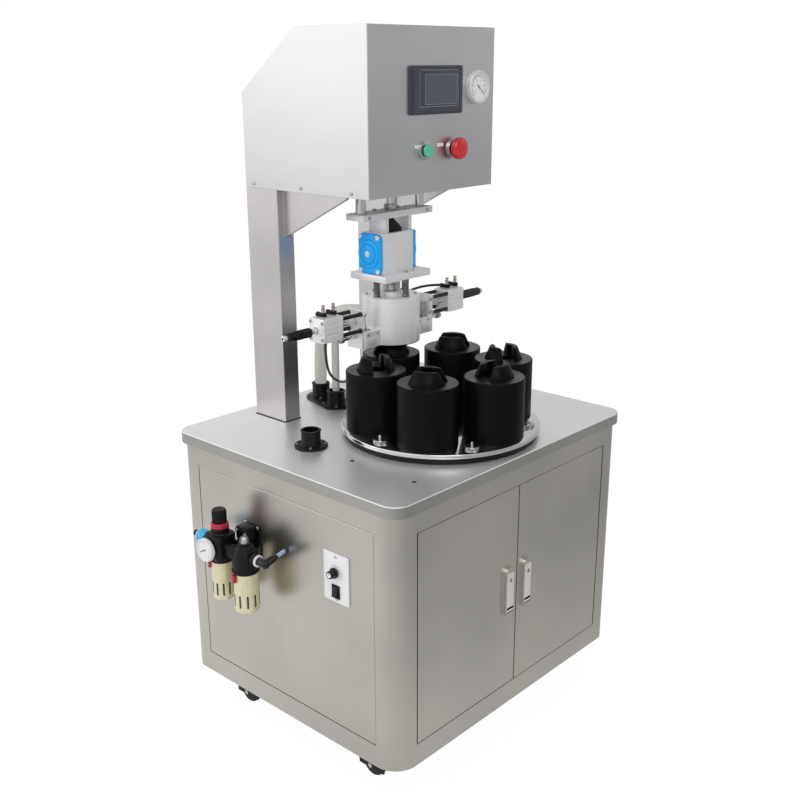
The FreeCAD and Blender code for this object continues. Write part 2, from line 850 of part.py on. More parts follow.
def chamber_lid():
    """Steel lid with a raised hub for the spindle seal and two hose nipples at the rear."""
    at = (0, press_y, lid_bottom)
    lid = rod(chamber_radius, lid_thickness, at)
    hub = rod(24.0, 8.0, (0, press_y, lid_top))
    lid = join(lid, hub)
    return lid.cut(rod(spindle_radius + sliding_clearance, lid_thickness + 8, at))


def cap_chuck():
    """Spindle through the lid with a coupling flange above and the cap chuck inside the bell."""
    bottom = lid_bottom - 3 - chuck_height
    top = lower_plate_top
    spindle = rod(spindle_radius, top - bottom, (0, press_y, bottom))
    chuck = Part.makeCone(chuck_radius, chuck_radius - 4, chuck_height, Vector(0, press_y, bottom))
    hollow = rod(chuck_radius - 5, chuck_height / 2, (0, press_y, bottom))
    flange = rod(15.0, 10.0, (0, press_y, lid_top + 10))
    return join(chuck, spindle, flange).cut(hollow)


def clamp_cylinder(sx):
    """Compact cylinder on four spacers outside the side plate."""
    start = side_plate_x + side_plate_thickness
    body_start = start + spacer_length
    w = clamp_body_width / 2
    h = clamp_body_height / 2
    x0 = sx * body_start
    x1 = sx * (body_start + clamp_body_length)
    body = box(min(x0, x1), max(x0, x1), press_y - w, press_y + w, clamp_z - h, clamp_z + h)
    body = round_edges(body, clamp_body_edge, Vector(1, 0, 0))
    along = Vector(sx, 0, 0)
    p = spacer_pitch / 2
    for dy in (-p, p):
        for dz in (-p, p):
            foot = (sx * start, press_y + dy, clamp_z + dz)
            body = body.fuse(rod(spacer_radius, spacer_length, foot, along))
    y = press_y - fitting_offset
    for step in (fitting_margin, clamp_body_length - fitting_margin):
        x = sx * (body_start + step)
        foot = clamp_z + h
        elbow = box(x - fitting_radius + 2, x + fitting_radius - 2, y, y + fitting_length,
                    foot, foot + fitting_height)
        body = body.fuse(rod(fitting_radius, fitting_height, (x, y, foot)))
        body = body.fuse(elbow)
        body = body.fuse(rod(flow_knob_radius, flow_knob_height, (x, y, foot + fitting_height)))
    bore = rod(clamp_rod_radius + sliding_clearance, clamp_body_length, (x0, press_y, clamp_z), along)
    return body.cut(bore)


def clamp_jaw(sx):
    """Jaw bar on a carrier inside the housing, with the drive rod, guide rod and stroke knob."""
    inner = sx * jaw_rest_x
    carrier_in = sx * (side_plate_x - jaw_thickness - jaw_end_gap)
    carrier_out = sx * (side_plate_x - jaw_end_gap)
    half = jaw_width / 2
    z0 = chamber_bottom + jaw_bottom
    along = Vector(sx, 0, 0)
    carrier = box(min(carrier_in, carrier_out), max(carrier_in, carrier_out), press_y - half, press_y + half,
                  z0, clamp_z + clamp_rod_radius + 2)
    bar = box(min(inner, carrier_out), max(inner, carrier_out), press_y - half, press_y + half,
              z0, z0 + jaw_height)
    drive_end = side_plate_x + side_plate_thickness + spacer_length + clamp_body_length + knob_length
    drive = rod(clamp_rod_radius, drive_end - side_plate_x + 2, (carrier_out, press_y, clamp_z), along)
    knob_start = drive_end - knob_length + jaw_travel + 4
    knob = rod(knob_radius + 2, drive_end - knob_start, (sx * knob_start, press_y, clamp_z), along)
    tip = rod(5.0, 10.0, (sx * drive_end, press_y, clamp_z), along)
    guide_z = chamber_bottom + jaw_guide_up
    guide_length = side_plate_thickness + jaw_travel + 28
    guide = rod(jaw_guide_radius, guide_length + 2, (carrier_out, press_y, guide_z), along)
    stop_x = sx * (side_plate_x + guide_length - 8)
    stop = rod(jaw_guide_radius + 3, 8, (stop_x, press_y, guide_z), along)
    return join(carrier, bar, drive, knob, tip, guide, stop)


def spigot(place):
    """Flanged hose spigot that stands on the worktop."""
    x, y = place
    at = (x, y, worktop_height)
    body = join(rod(spigot_flange_radius, spigot_flange_height, at), rod(spigot_radius, spigot_height, at))
    return body.cut(rod(spigot_radius - spigot_wall, spigot_height, at))


def rear_spigots():
    """Two hose spigots on one long flange."""
    ax, ay = rear_spigot_a
    bx, by = rear_spigot_b
    length = math.hypot(ax - bx, ay - by)
    bridge = box(0, length, -spigot_flange_radius, spigot_flange_radius, 0, spigot_flange_height)
    bridge.rotate(Vector(0, 0, 0), Vector(0, 0, 1), math.degrees(math.atan2(ay - by, ax - bx)))
    bridge.translate(Vector(bx, by, worktop_height))
    body = join(spigot(rear_spigot_a), spigot(rear_spigot_b), bridge)
    for x, y in (rear_spigot_a, rear_spigot_b):
        body = body.cut(rod(spigot_radius - spigot_wall, spigot_height, (x, y, worktop_height)))
    return body


def caster_fork(place, turn):
    """Hooded caster housing with its swivel stem and the wheel's axle."""
    x, y = place
    inside = wheel_width / 2 + 1
    half = inside + fork_cheek
    reach = wheel_radius + hood_gap
    top = caster_height - 1
    slot_top = wheel_radius * 2 + fork_cheek
    hood = rod(reach, 2 * half, (caster_trail, -half, wheel_radius), Vector(0, 1, 0))
    hood = hood.common(box(caster_trail - reach, caster_trail + reach, -half, half,
                           wheel_radius - hood_drop, top))
    neck = rod(swivel_radius, top - slot_top + fork_cheek, (0, 0, slot_top - fork_cheek))
    slot = box(caster_trail - 2 * reach, caster_trail + 2 * reach, -inside, inside, 0, slot_top)
    fork = hood.fuse(neck).cut(slot)
    stem = rod(stem_radius, stem_length, (0, 0, top - 1))
    axle = rod(axle_radius, 2 * half + 4, (caster_trail, -half - 2, wheel_radius), Vector(0, 1, 0))
    fork = join(fork, stem, axle)
    fork.rotate(Vector(0, 0, 0), Vector(0, 0, 1), turn)
    fork.translate(Vector(x, y, 0))
    return fork


def caster_wheel(place, turn):
    """Caster tyre and hub, bored for the axle."""
    x, y = place
    half = wheel_width / 2
    wheel = rod(wheel_radius, wheel_width, (caster_trail, -half, wheel_radius), Vector(0, 1, 0))
    wheel = wheel.makeChamfer(tyre_shoulder, [e for e in wheel.Edges if e.Closed])
    bore = rod(axle_radius + sliding_clearance, wheel_width, (caster_trail, -half, wheel_radius),
               Vector(0, 1, 0))
    wheel = wheel.cut(bore)
    wheel.rotate(Vector(0, 0, 0), Vector(0, 0, 1), turn)
    wheel.translate(Vector(x, y, 0))
    return wheel


def frl_regulator():
    """Filter regulator body with its gauge, bowl, bracket and inlet port."""
    x = frl_axis_x
    y = frl_regulator_y
    z = frl_z
    h = frl_body_height / 2
    r = frl_body_radius
    body = box(x - r, x + r, y - r, y + r, z - h, z + h)
    body = round_edges(body, frl_body_edge, Vector(0, 0, 1))
    neck = rod(knob_ring_radius - 3, knob_ring_height - 1, (x, y, z + h))
    gauge = rod(line_gauge_radius, line_gauge_depth, (x - r, y + 6, z - 6), Vector(-1, 0, 0))
    bowl = bowl_shape(x, y, z - h, regulator_bowl_radius)
    wall = -body_width / 2
    middle = y - frl_pitch / 2
    link = box(x - frl_half_link, x + frl_half_link, y - frl_pitch + r, y - r,
               z - frl_half_link, z + frl_half_link)
    arm = box(x, wall, middle - frl_half_arm, middle + frl_half_arm, z - frl_half_link, z + frl_half_link)
    plate = box(wall - frl_bracket_thickness, wall, middle - bracket_width / 2, middle + bracket_width / 2,
                z - bracket_height / 2, z + bracket_height / 2)
    port = rod(inlet_port_radius, valve_start, (x, y + r, z), Vector(0, 1, 0))
    return join(body, neck, gauge, bowl, link, arm, plate, port)


def bowl_shape(x, y, top, r):
    """Bowl guard with a rounded lower end and a drain."""
    low = -bowl_length
    profile = [(0, 0), (r, 0), (r, low + bowl_rounding), (r - bowl_rounding / 3, low + bowl_rounding / 3),
               (r - bowl_rounding, low), (drain_radius, low), (drain_radius, low - drain_length),
               (0, low - drain_length)]
    return revolve(profile, (x, y, top))


def frl_lubricator():
    """Lubricator body with its sight dome, bowl, outlet port and the tube into the cabinet."""
    x = frl_axis_x
    y = frl_regulator_y - frl_pitch
    z = frl_z
    h = frl_body_height / 2
    r = frl_body_radius
    body = box(x - r, x + r, y - r, y + r, z - h, z + h - 6)
    body = round_edges(body, frl_body_edge, Vector(0, 0, 1))
    dome = rod(sight_dome_radius, sight_dome_height, (x, y, z + h - 6))
    dome = chamfer_rim(dome, sight_dome_radius / 3, z + h - 6 + sight_dome_height)
    bowl = bowl_shape(x, y, z - h, lubricator_bowl_radius)
    end = y - r - outlet_port_length
    port = rod(outlet_port_radius, outlet_port_length, (x, end, z), Vector(0, 1, 0))
    elbow = rod(elbow_radius, elbow_length, (x, end - elbow_length, z), Vector(0, 1, 0))
    return join(body, dome, bowl, port, elbow, outlet_tube(end - elbow_length + elbow_radius))


def outlet_tube(y):
    """Swivelled elbow end, air tube and grommet that lead from the lubricator into the cabinet."""
    wall = -body_width / 2
    start = Vector(frl_axis_x, y, frl_z)
    end = Vector(wall, y, frl_z + outlet_rise)
    run = end - start
    socket = rod(outlet_socket_radius, elbow_length, start, run)
    tube = rod(outlet_tube_radius, run.Length - outlet_tube_radius / 2, start, run)
    grommet = rod(outlet_socket_radius, grommet_length, end, Vector(-1, 0, 0))
    return join(socket, tube, grommet)


def regulator_knob():
    """Pressure knob with a lock ring at its foot."""
    x = frl_axis_x
    y = frl_regulator_y
    z = frl_z + frl_body_height / 2 + sliding_clearance
    bore = knob_ring_radius - 3 + sliding_clearance
    sleeve = rod(knob_ring_radius, knob_ring_height + 4, (x, y, z))
    cap = rod(knob_cap_radius, knob_cap_height, (x, y, z + knob_ring_height + 4))
    return join(sleeve, cap).cut(rod(bore, knob_ring_height, (x, y, z)))


def hand_valve():
    """Sliding sleeve of the venting hand valve on the inlet."""
    x = frl_axis_x
    y = frl_regulator_y + frl_body_radius + valve_start
    bore = pipe_radius + sliding_clearance
    return ring(valve_radius, bore, valve_length, (x, y + 5, frl_z), Vector(0, 1, 0))


def valve_pipe():
    """Inlet nipple that carries the sliding sleeve and takes the supply hose."""
    x = frl_axis_x
    y = frl_regulator_y + frl_body_radius + valve_start
    length = valve_length + valve_room
    nipple = ring(pipe_radius, pipe_bore_radius, length, (x, y, frl_z), Vector(0, 1, 0))
    collar = ring(pipe_radius + 3, pipe_bore_radius, 5.0, (x, y + length - 5.0, frl_z), Vector(0, 1, 0))
    return join(nipple, collar)


def speed_plate():
    """Small plate on the side panel that carries the speed knob and the switch."""
    wall = -body_width / 2
    w = speed_plate_width / 2
    h = speed_plate_height / 2
    z = speed_plate_z
    plate = box(wall - speed_plate_thickness, wall, speed_plate_y - w, speed_plate_y + w, z - h, z + h)
    plate = round_edges(plate, 3.0, Vector(1, 0, 0))
    face = wall - speed_plate_thickness
    boss = rod(6.0, 3.0, (face, speed_plate_y, z + speed_knob_up), Vector(-1, 0, 0))
    pocket_w = rocker_width / 2 + 0.4
    pocket_h = rocker_height / 2 + 0.6
    wall_w = rocker_width / 2 + 3
    wall_h = rocker_height / 2 + 3
    z -= rocker_drop
    frame = box(face - 2.5, face, speed_plate_y - wall_w, speed_plate_y + wall_w, z - wall_h, z + wall_h)
    pocket = box(face - 2.5, face + 2.5, speed_plate_y - pocket_w, speed_plate_y + pocket_w,
                 z - pocket_h, z + pocket_h)
    return join(plate, boss, frame).cut(pocket)


def speed_knob():
    """Round speed knob with a grip skirt."""
    face = -body_width / 2 - speed_plate_thickness - 3.0 - sliding_clearance
    z = speed_plate_z + speed_knob_up
    along = Vector(-1, 0, 0)
    skirt = rod(speed_knob_radius, 4.0, (face, speed_plate_y, z), along)
    return join(skirt, rod(speed_knob_radius - 2.5, speed_knob_height, (face, speed_plate_y, z), along))


def rocker_axis():
    """Place of the rocker switch's pivot."""
    face = -body_width / 2 - speed_plate_thickness
    return face - 1.5, speed_plate_y, speed_plate_z - rocker_drop


def speed_rocker():
    """Two-position rocker with a shallow V face."""
    x, y, z = rocker_axis()
    half = rocker_height / 2
    w = rocker_width / 2
    y -= w
    outline = [(x + 0.6, y, z - half + 1.4), (x + 0.6, y, z + half - 1.4), (x - 2.4, y, z + half - 0.6),
               (x - 3.4, y, z), (x - 5.0, y, z - half + 1.6)]
    return prism(outline, (0, rocker_width, 0))


def hose_port(x):
    """End of a hose nipple at the back of the bell."""
    return x, press_y + chamber_radius + port_reach, chamber_bottom + port_up


def hose_route(place, port, leans, runs):
    """Points of a hose that rises from a spigot and leans forward into a port.

    The first run is upright and the last one is level; both close the distance.
    """
    x, y = place
    px, py, pz = port
    rise = sum(run * math.cos(math.radians(lean)) for lean, run in zip(leans, runs))
    z = worktop_height + spigot_height
    points = [(x, y, z)]
    z = pz - rise
    points.append((x, y, z))
    for step, (lean, run) in enumerate(zip(leans, runs), 1):
        y -= run * math.sin(math.radians(lean))
        z += run * math.cos(math.radians(lean))
        points.append((x + (px - x) * step / len(runs), y, z))
    points.append((px, py, pz))
    return points


def large_hose_route():
    """Route of the large hose."""
    return hose_route(rear_spigot_a, hose_port(port_a_x), (12, 45, 78), (55, 55, 55))


def small_hose_route():
    """Route of the small hose."""
    return hose_route(rear_spigot_b, hose_port(port_b_x), (8, 36, 68), (40, 30, 28))


def cable_route():
    """Route of the sensor cable from the left clamp to its hole in the worktop."""
    x = -side_plate_x - side_plate_thickness - spacer_length - 18
    z = clamp_z - clamp_body_height / 2
    hx, hy = cable_hole
    top = worktop_height
    return [(x, press_y + 12, z), (x, press_y + 12, z - 38), (-132, 80, top + 108), (-78, 106, top + 76),
            (-24, 138, top + 60), (8, 168, top + 46), (hx, hy, top + 22), (hx, hy, top - 6)]


def build():
    """All pieces by name."""
    made = {
        "cabinet_frame": cabinet_frame(), "panel_left": side_panel(-1), "panel_right": side_panel(1),
        "panel_rear": rear_panel(), "worktop": worktop(),
        "column_left": column(-1), "column_right": column(1),
        "head_cover": head_cover(), "head_floor": head_floor(), "press_cylinder": press_cylinder(),
        "operator_panel": operator_panel(), "vacuum_gauge": vacuum_gauge(),
        "turntable_base": turntable_base(), "index_drive": index_drive(),
        "spigot_front": spigot(front_spigot), "spigot_rear": rear_spigots(),
        "hose_large": path_tube(hose_large_radius, large_hose_route()),
        "hose_small": path_tube(hose_small_radius, small_hose_route()),
        "sensor_cable": path_tube(cable_radius, cable_route()),
        "regulator": join(frl_regulator(), valve_pipe()), "regulator_knob": regulator_knob(),
        "hand_valve": hand_valve(), "lubricator": frl_lubricator(),
        "speed_plate": speed_plate(), "speed_knob": speed_knob(), "speed_rocker": speed_rocker(),
        "start_button": start_button(), "estop_button": estop_button(), "turntable": turntable_disc(),
        "upper_plate": upper_plate(), "piston_rod": piston_rod(), "rotary_actuator": rotary_actuator(),
        "lower_plate": lower_plate(), "chamber": chamber(), "chamber_lid": chamber_lid(),
        "cap_chuck": cap_chuck(),
    }
    for name, sx in (("left", -1), ("right", 1)):
        made["door_" + name] = door(sx)
        made["latch_" + name] = latch_lever(sx)
        made["end_cap_" + name] = end_cap(sx)
        made["clamp_cylinder_" + name] = clamp_cylinder(sx)
        made["clamp_jaw_" + name] = clamp_jaw(sx)
    for index in range(station_count):
        made[f"holder_{index + 1}"] = holder(index)
    for index, (place, turn) in enumerate(zip(caster_places(), caster_turns), 1):
        made[f"caster_fork_{index}"] = caster_fork(place, turn)
        made[f"caster_wheel_{index}"] = caster_wheel(place, turn)
    return made


def origin_of(made):
    """Middle of the bounding box's bottom face."""
    whole = Part.makeCompound(list(made.values())).optimalBoundingBox(False, False)
    return Vector((whole.XMin + whole.XMax) / 2, (whole.YMin + whole.YMax) / 2, whole.ZMin), whole


if __name__ == "__main__":
    os.makedirs("parts", exist_ok=True)
    pieces = build()
    origin, whole = origin_of(pieces)
    print("origin", origin, "size", whole.XLength, whole.YLength, whole.ZLength)
    for name, shape in pieces.items():
        shape.translate(-origin)
        if len(shape.Solids) != 1 or not shape.isValid():
            print("check", name, len(shape.Solids), shape.isValid())
        shape.exportStep(f"parts/{name}.step")
    print(len(pieces), "pieces")
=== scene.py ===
"""Dresses the frame of a vacuum capping machine: modelled pieces, finishes, camera and studio."""

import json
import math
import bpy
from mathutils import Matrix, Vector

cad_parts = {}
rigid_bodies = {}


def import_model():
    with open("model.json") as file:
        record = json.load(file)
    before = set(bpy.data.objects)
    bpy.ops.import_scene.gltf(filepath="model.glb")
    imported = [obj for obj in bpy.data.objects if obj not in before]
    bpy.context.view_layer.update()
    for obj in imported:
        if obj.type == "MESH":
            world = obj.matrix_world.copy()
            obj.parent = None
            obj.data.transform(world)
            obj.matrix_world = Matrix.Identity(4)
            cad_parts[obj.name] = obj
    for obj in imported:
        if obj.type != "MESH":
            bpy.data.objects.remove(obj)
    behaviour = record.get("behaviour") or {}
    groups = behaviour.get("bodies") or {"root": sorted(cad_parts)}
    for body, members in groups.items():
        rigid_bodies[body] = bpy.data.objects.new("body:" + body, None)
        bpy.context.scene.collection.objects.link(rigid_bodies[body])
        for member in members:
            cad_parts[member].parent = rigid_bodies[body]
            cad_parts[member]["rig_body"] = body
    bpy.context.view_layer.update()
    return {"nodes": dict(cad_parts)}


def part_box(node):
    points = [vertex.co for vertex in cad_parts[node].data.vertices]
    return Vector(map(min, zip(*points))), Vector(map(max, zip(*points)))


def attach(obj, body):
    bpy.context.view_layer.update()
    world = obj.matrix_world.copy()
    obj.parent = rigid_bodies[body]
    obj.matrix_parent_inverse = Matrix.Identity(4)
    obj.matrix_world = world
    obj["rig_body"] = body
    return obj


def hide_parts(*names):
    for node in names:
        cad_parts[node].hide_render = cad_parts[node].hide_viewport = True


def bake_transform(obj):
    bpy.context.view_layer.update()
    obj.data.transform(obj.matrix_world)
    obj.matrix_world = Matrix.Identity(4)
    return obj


bl_info = {
    "name": "Vacuum capping machine",
    "version": (1, 0, 0),
    "blender": (4, 5, 0),
    "location": "3D View > Sidebar > Capping",
    "description": "Models the visible pieces of a vacuum capping machine on its packed frame",
    "category": "Object",
}

import bmesh
import bpy
from mathutils import Matrix, Vector

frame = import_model()

MM = 0.001
UP = Vector((0, 0, 1))
RIGHT = Vector((1, 0, 0))
LEFT = Vector((-1, 0, 0))
BACK = Vector((0, 1, 0))
FRONT = Vector((0, -1, 0))
MIDDLE = sum(corner.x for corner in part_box("worktop")) / 2


# Measures: the script's own sizes are millimetres from the cabinet's middle line and the floor.

def span(node):
    """Lowest and highest corner of a frame node in millimetres."""
    return [Vector(((c.x - MIDDLE) / MM, c.y / MM, c.z / MM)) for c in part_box(node)]


def centre(node):
    """Middle of a frame node in millimetres."""
    low, high = span(node)
    return (low + high) / 2


def body_of(node):
    """Body that a frame node rides on."""
    return frame["nodes"][node]["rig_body"]


# Shapes: each function returns a bmesh in millimetres.

def soften(shape, size, steps=2, sharp=40):
    """Rounds every edge where two faces meet sharply."""
    limit = math.radians(sharp)
    edges = [e for e in shape.edges if len(e.link_faces) == 2 and e.calc_face_angle(0) > limit]
    if size and edges:
        bmesh.ops.bevel(shape, geom=edges, offset=size, segments=steps, profile=0.5,
                        affect="EDGES", material=-1, clamp_overlap=True)
    return shape


def stand(shape, foot, along=UP):
    """Turns a shape made upright on the origin so that it stands on foot along a direction."""
    matrix = (Matrix.Translation(Vector(foot))
              @ UP.rotation_difference(Vector(along)).to_matrix().to_4x4())
    bmesh.ops.transform(shape, matrix=matrix, verts=shape.verts)
    return shape


def block(low, high, edge=0.6, steps=2):
    """Block between two corners with softened edges."""
    low, high = Vector(low), Vector(high)
    shape = bmesh.new()
    bmesh.ops.create_cube(shape, size=1.0)
    bmesh.ops.scale(shape, vec=high - low, verts=shape.verts)
    bmesh.ops.translate(shape, vec=(low + high) / 2, verts=shape.verts)
    return soften(shape, edge, steps)


def slab(low, high, corner, along, edge=0.6, steps=8):
    """Block whose four edges along a direction have a corner radius."""
    shape = block(low, high, 0)
    along = Vector(along)
    edges = [e for e in shape.edges
             if abs((e.verts[1].co - e.verts[0].co).normalized().dot(along)) > 0.99]
    bmesh.ops.bevel(shape, geom=edges, offset=corner, segments=steps, profile=0.5,
                    affect="EDGES", material=-1, clamp_overlap=True)
    return soften(shape, edge, 2)


def bar(radius, length, foot, along=UP, edge=0.5, sides=40):
    """Round bar from a foot point along a direction."""
    shape = bmesh.new()
    bmesh.ops.create_cone(shape, cap_ends=True, segments=sides, radius1=radius,
                          radius2=radius, depth=length)
    bmesh.ops.translate(shape, vec=(0, 0, length / 2), verts=shape.verts)
    return stand(soften(shape, edge, 2, 50), foot, along)


def turned(profile, foot, along=UP, sides=64, closed=False):
    """Solid turned about its axis from (radius, height) pairs; a closed profile makes a ring."""
    shape = bmesh.new()
    verts = [shape.verts.new((radius, 0, height)) for radius, height in profile]
    pairs = list(zip(verts, verts[1:]))
    if closed:
        pairs.append((verts[-1], verts[0]))
    edges = [shape.edges.new(pair) for pair in pairs]
    bmesh.ops.spin(shape, geom=verts + edges, axis=UP, cent=(0, 0, 0), angle=math.tau,
                   steps=sides, use_merge=True)
    bmesh.ops.remove_doubles(shape, verts=shape.verts, dist=0.001)
    bmesh.ops.recalc_face_normals(shape, faces=shape.faces)
    return stand(shape, foot, along)


def pushed(outline, push, edge=0.4, steps=2):
    """Solid from a flat outline and the direction it is pushed along."""
    shape = bmesh.new()
    face = shape.faces.new([shape.verts.new(point) for point in outline])
    made = bmesh.ops.extrude_face_region(shape, geom=[face], use_keep_orig=True)
    moved = [item for item in made["geom"] if isinstance(item, bmesh.types.BMVert)]
    bmesh.ops.translate(shape, vec=push, verts=moved)
    bmesh.ops.recalc_face_normals(shape, faces=shape.faces)
    return soften(shape, edge, steps)


def window(outer, inner, push, edge=0.4):
    """Frame between two flat outlines with equal counts, pushed along a direction."""
    shape = bmesh.new()
    loops = []
    for outline in (outer, inner):
        verts = [shape.verts.new(point) for point in outline]
        loops += [shape.edges.new((a, b)) for a, b in zip(verts, verts[1:] + verts[:1])]
    faces = bmesh.ops.bridge_loops(shape, edges=loops)["faces"]
    made = bmesh.ops.extrude_face_region(shape, geom=faces, use_keep_orig=True)
    moved = [item for item in made["geom"] if isinstance(item, bmesh.types.BMVert)]
    bmesh.ops.translate(shape, vec=push, verts=moved)
    bmesh.ops.recalc_face_normals(shape, faces=shape.faces)
    return soften(shape, edge, 2)


def rounded(x, z, half, tall, corner, steps=6):
    """Outline of a rounded rectangle as (x, z) pairs."""
    outline = []
    for quarter, (sx, sz) in enumerate(((1, 1), (-1, 1), (-1, -1), (1, -1))):
        for step in range(steps + 1):
            angle = math.radians(90 * (quarter + step / steps))
            outline.append((x + sx * (half - corner) + corner * math.cos(angle),
                            z + sz * (tall - corner) + corner * math.sin(angle)))
    return outline


def dial_tick(start, end, half, height, angle, facing):
    """Tick of a dial from one radius to another, at an angle, laid on the dial by its facing."""
    tick = block((start, -half, 0), (end, half, height), 0)
    bmesh.ops.rotate(tick, matrix=Matrix.Rotation(angle, 3, "Z"), verts=tick.verts)
    bmesh.ops.transform(tick, matrix=facing, verts=tick.verts)
    return tick


def to_front(x, y, z):
    """Turns a shape drawn on the XY plane to face the front at a place."""
    return Matrix.Translation((x, y, z)) @ Matrix.Rotation(math.radians(90), 4, "X")


def to_left(x, y, z):
    """Turns a shape drawn on the XY plane to face left at a place."""
    return (Matrix.Translation((x, y, z)) @ Matrix.Rotation(math.radians(-90), 4, "Z")
            @ Matrix.Rotation(math.radians(90), 4, "X"))


def ridged(radius, depth, length, foot, along=UP, ridges=24, edge=0.4):
    """Grip sleeve with a ridge at every other corner."""
    shape = bmesh.new()
    bmesh.ops.create_cone(shape, cap_ends=True, segments=2 * ridges, radius1=radius,
                          radius2=radius, depth=length)
    for vert in shape.verts:
        if int(round(math.atan2(vert.co.y, vert.co.x) / math.tau * 2 * ridges)) % 2:
            vert.co.x *= 1 - depth / radius
            vert.co.y *= 1 - depth / radius
    bmesh.ops.translate(shape, vec=(0, 0, length / 2), verts=shape.verts)
    return stand(soften(shape, edge, 1, 70), foot, along)


def prism(across, length, foot, along=UP, sides=6, edge=0.4):
    """Regular bar, such as a nut, measured across its flats."""
    return bar(across / 2 / math.cos(math.pi / sides), length, foot, along, edge, sides)


def socket_screw(radius, height, foot, along):
    """Cap screw head with a sunken socket."""
    hole = radius * 0.5
    return turned([(0, -0.2), (radius, -0.2), (radius, height * 0.8), (radius * 0.86, height),
                   (hole, height), (hole, height * 0.45), (0, height * 0.45)], foot, along, 20)


def pan_screw(radius, height, foot, along):
    """Low domed screw head."""
    return turned([(0, -0.2), (radius, -0.2), (radius * 0.94, height * 0.5),
                   (radius * 0.6, height * 0.9), (0, height)], foot, along, 20)


class Form:
    """One piece in the making, gathered from shapes with their finishes."""

    def __init__(self, name):
        self.name = name
        self.body = bmesh.new()
        self.finishes = []

    def add(self, shape, finish):
        """Takes a shape in, in a finish."""
        if finish not in self.finishes:
            self.finishes.append(finish)
        for face in shape.faces:
            face.material_index = self.finishes.index(finish)
        held = bpy.data.meshes.new("held")
        shape.to_mesh(held)
        shape.free()
        self.body.from_mesh(held)
        bpy.data.meshes.remove(held)

    def finish(self, body, *stands_for):
        """Makes the object, on its body, in place of the frame nodes it stands for."""
        place = Matrix.Translation((MIDDLE, 0, 0)) @ Matrix.Scale(MM, 4)
        bmesh.ops.transform(self.body, matrix=place, verts=self.body.verts)
        mesh = bpy.data.meshes.new(self.name)
        self.body.to_mesh(mesh)
        self.body.free()
        settle(mesh, self.name, self.finishes, body, stands_for)


def settle(mesh, name, finishes, body, stands_for=(), sharp=38):
    """Object from a mesh in place: smooth faces, finishes and body."""
    for finish in finishes:
        mesh.materials.append(material(finish))
    mesh.shade_smooth()
    mesh.set_sharp_from_angle(angle=math.radians(sharp))
    piece = bpy.data.objects.new(name, mesh)
    bpy.context.scene.collection.objects.link(piece)
    if body:
        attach(piece, body)
    if stands_for:
        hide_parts(*stands_for)
    return piece


def dressed(node, finish, edge=0.0, change=None, rim=None):
    """Merged copy of a frame node with softened edges; upright faces may take a second rim finish,
    painted darker as shade.
    """
    shape = bmesh.new()
    shape.from_mesh(frame["nodes"][node].data)
    bmesh.ops.remove_doubles(shape, verts=shape.verts, dist=MM / 50)
    bmesh.ops.dissolve_limit(shape, angle_limit=math.radians(0.4), verts=shape.verts,
                             edges=shape.edges)
    if change:
        change(shape)
    mesh = bpy.data.meshes.new(node + "_finished")
    shape.to_mesh(mesh)
    shape.free()
    mesh.materials.clear()
    finishes = [finish, rim] if rim else [finish]
    # Upright faces take the rim finish, whose darker colour is painted shade.
    for face in mesh.polygons:
        face.material_index = 1 if rim and abs(face.normal.z) < 0.5 else 0
    piece = settle(mesh, node + "_finished", finishes, body_of(node), (node,), sharp=32)
    if edge:
        rounding = piece.modifiers.new("edge", "BEVEL")
        rounding.width = edge * MM
        rounding.segments = 2
        rounding.limit_method = "ANGLE"
        rounding.angle_limit = math.radians(50)
        rounding.use_clamp_overlap = True
        weighing = piece.modifiers.new("flat", "WEIGHTED_NORMAL")
        weighing.weight = 100
        weighing.keep_sharp = True


# Finishes: one material each, named for the real one and how its surface was made.

def linear(colour):
    """Linear values of an sRGB hex colour, or of one of the user's colours by its name."""
    if not colour.startswith("#"):
        return list(getattr(bpy.context.scene.capping_colours, colour))
    parts = [int(colour[i:i + 2], 16) / 255 for i in (1, 3, 5)]
    return [c / 12.92 if c <= 0.04045 else ((c + 0.055) / 1.055) ** 2.4 for c in parts] + [1.0]


def add(tree, kind, settings=None, links=None):
    """Adds a shader node with its settings; inputs are values or the sockets that feed them."""
    node = tree.nodes.new(kind)
    for name, value in (settings or {}).items():
        setattr(node, name, value)
    for name, value in (links or {}).items():
        if isinstance(value, bpy.types.NodeSocket):
            tree.links.new(value, node.inputs[name])
        else:
            node.inputs[name].default_value = value
    return node


def per_metre(size):
    """Noise scale for features of a size in millimetres."""
    return 1 / (size * MM)


def surface(tree, shader):
    """Ends a material in its shader."""
    add(tree, "ShaderNodeOutputMaterial", None, {"Surface": shader.outputs[0]})


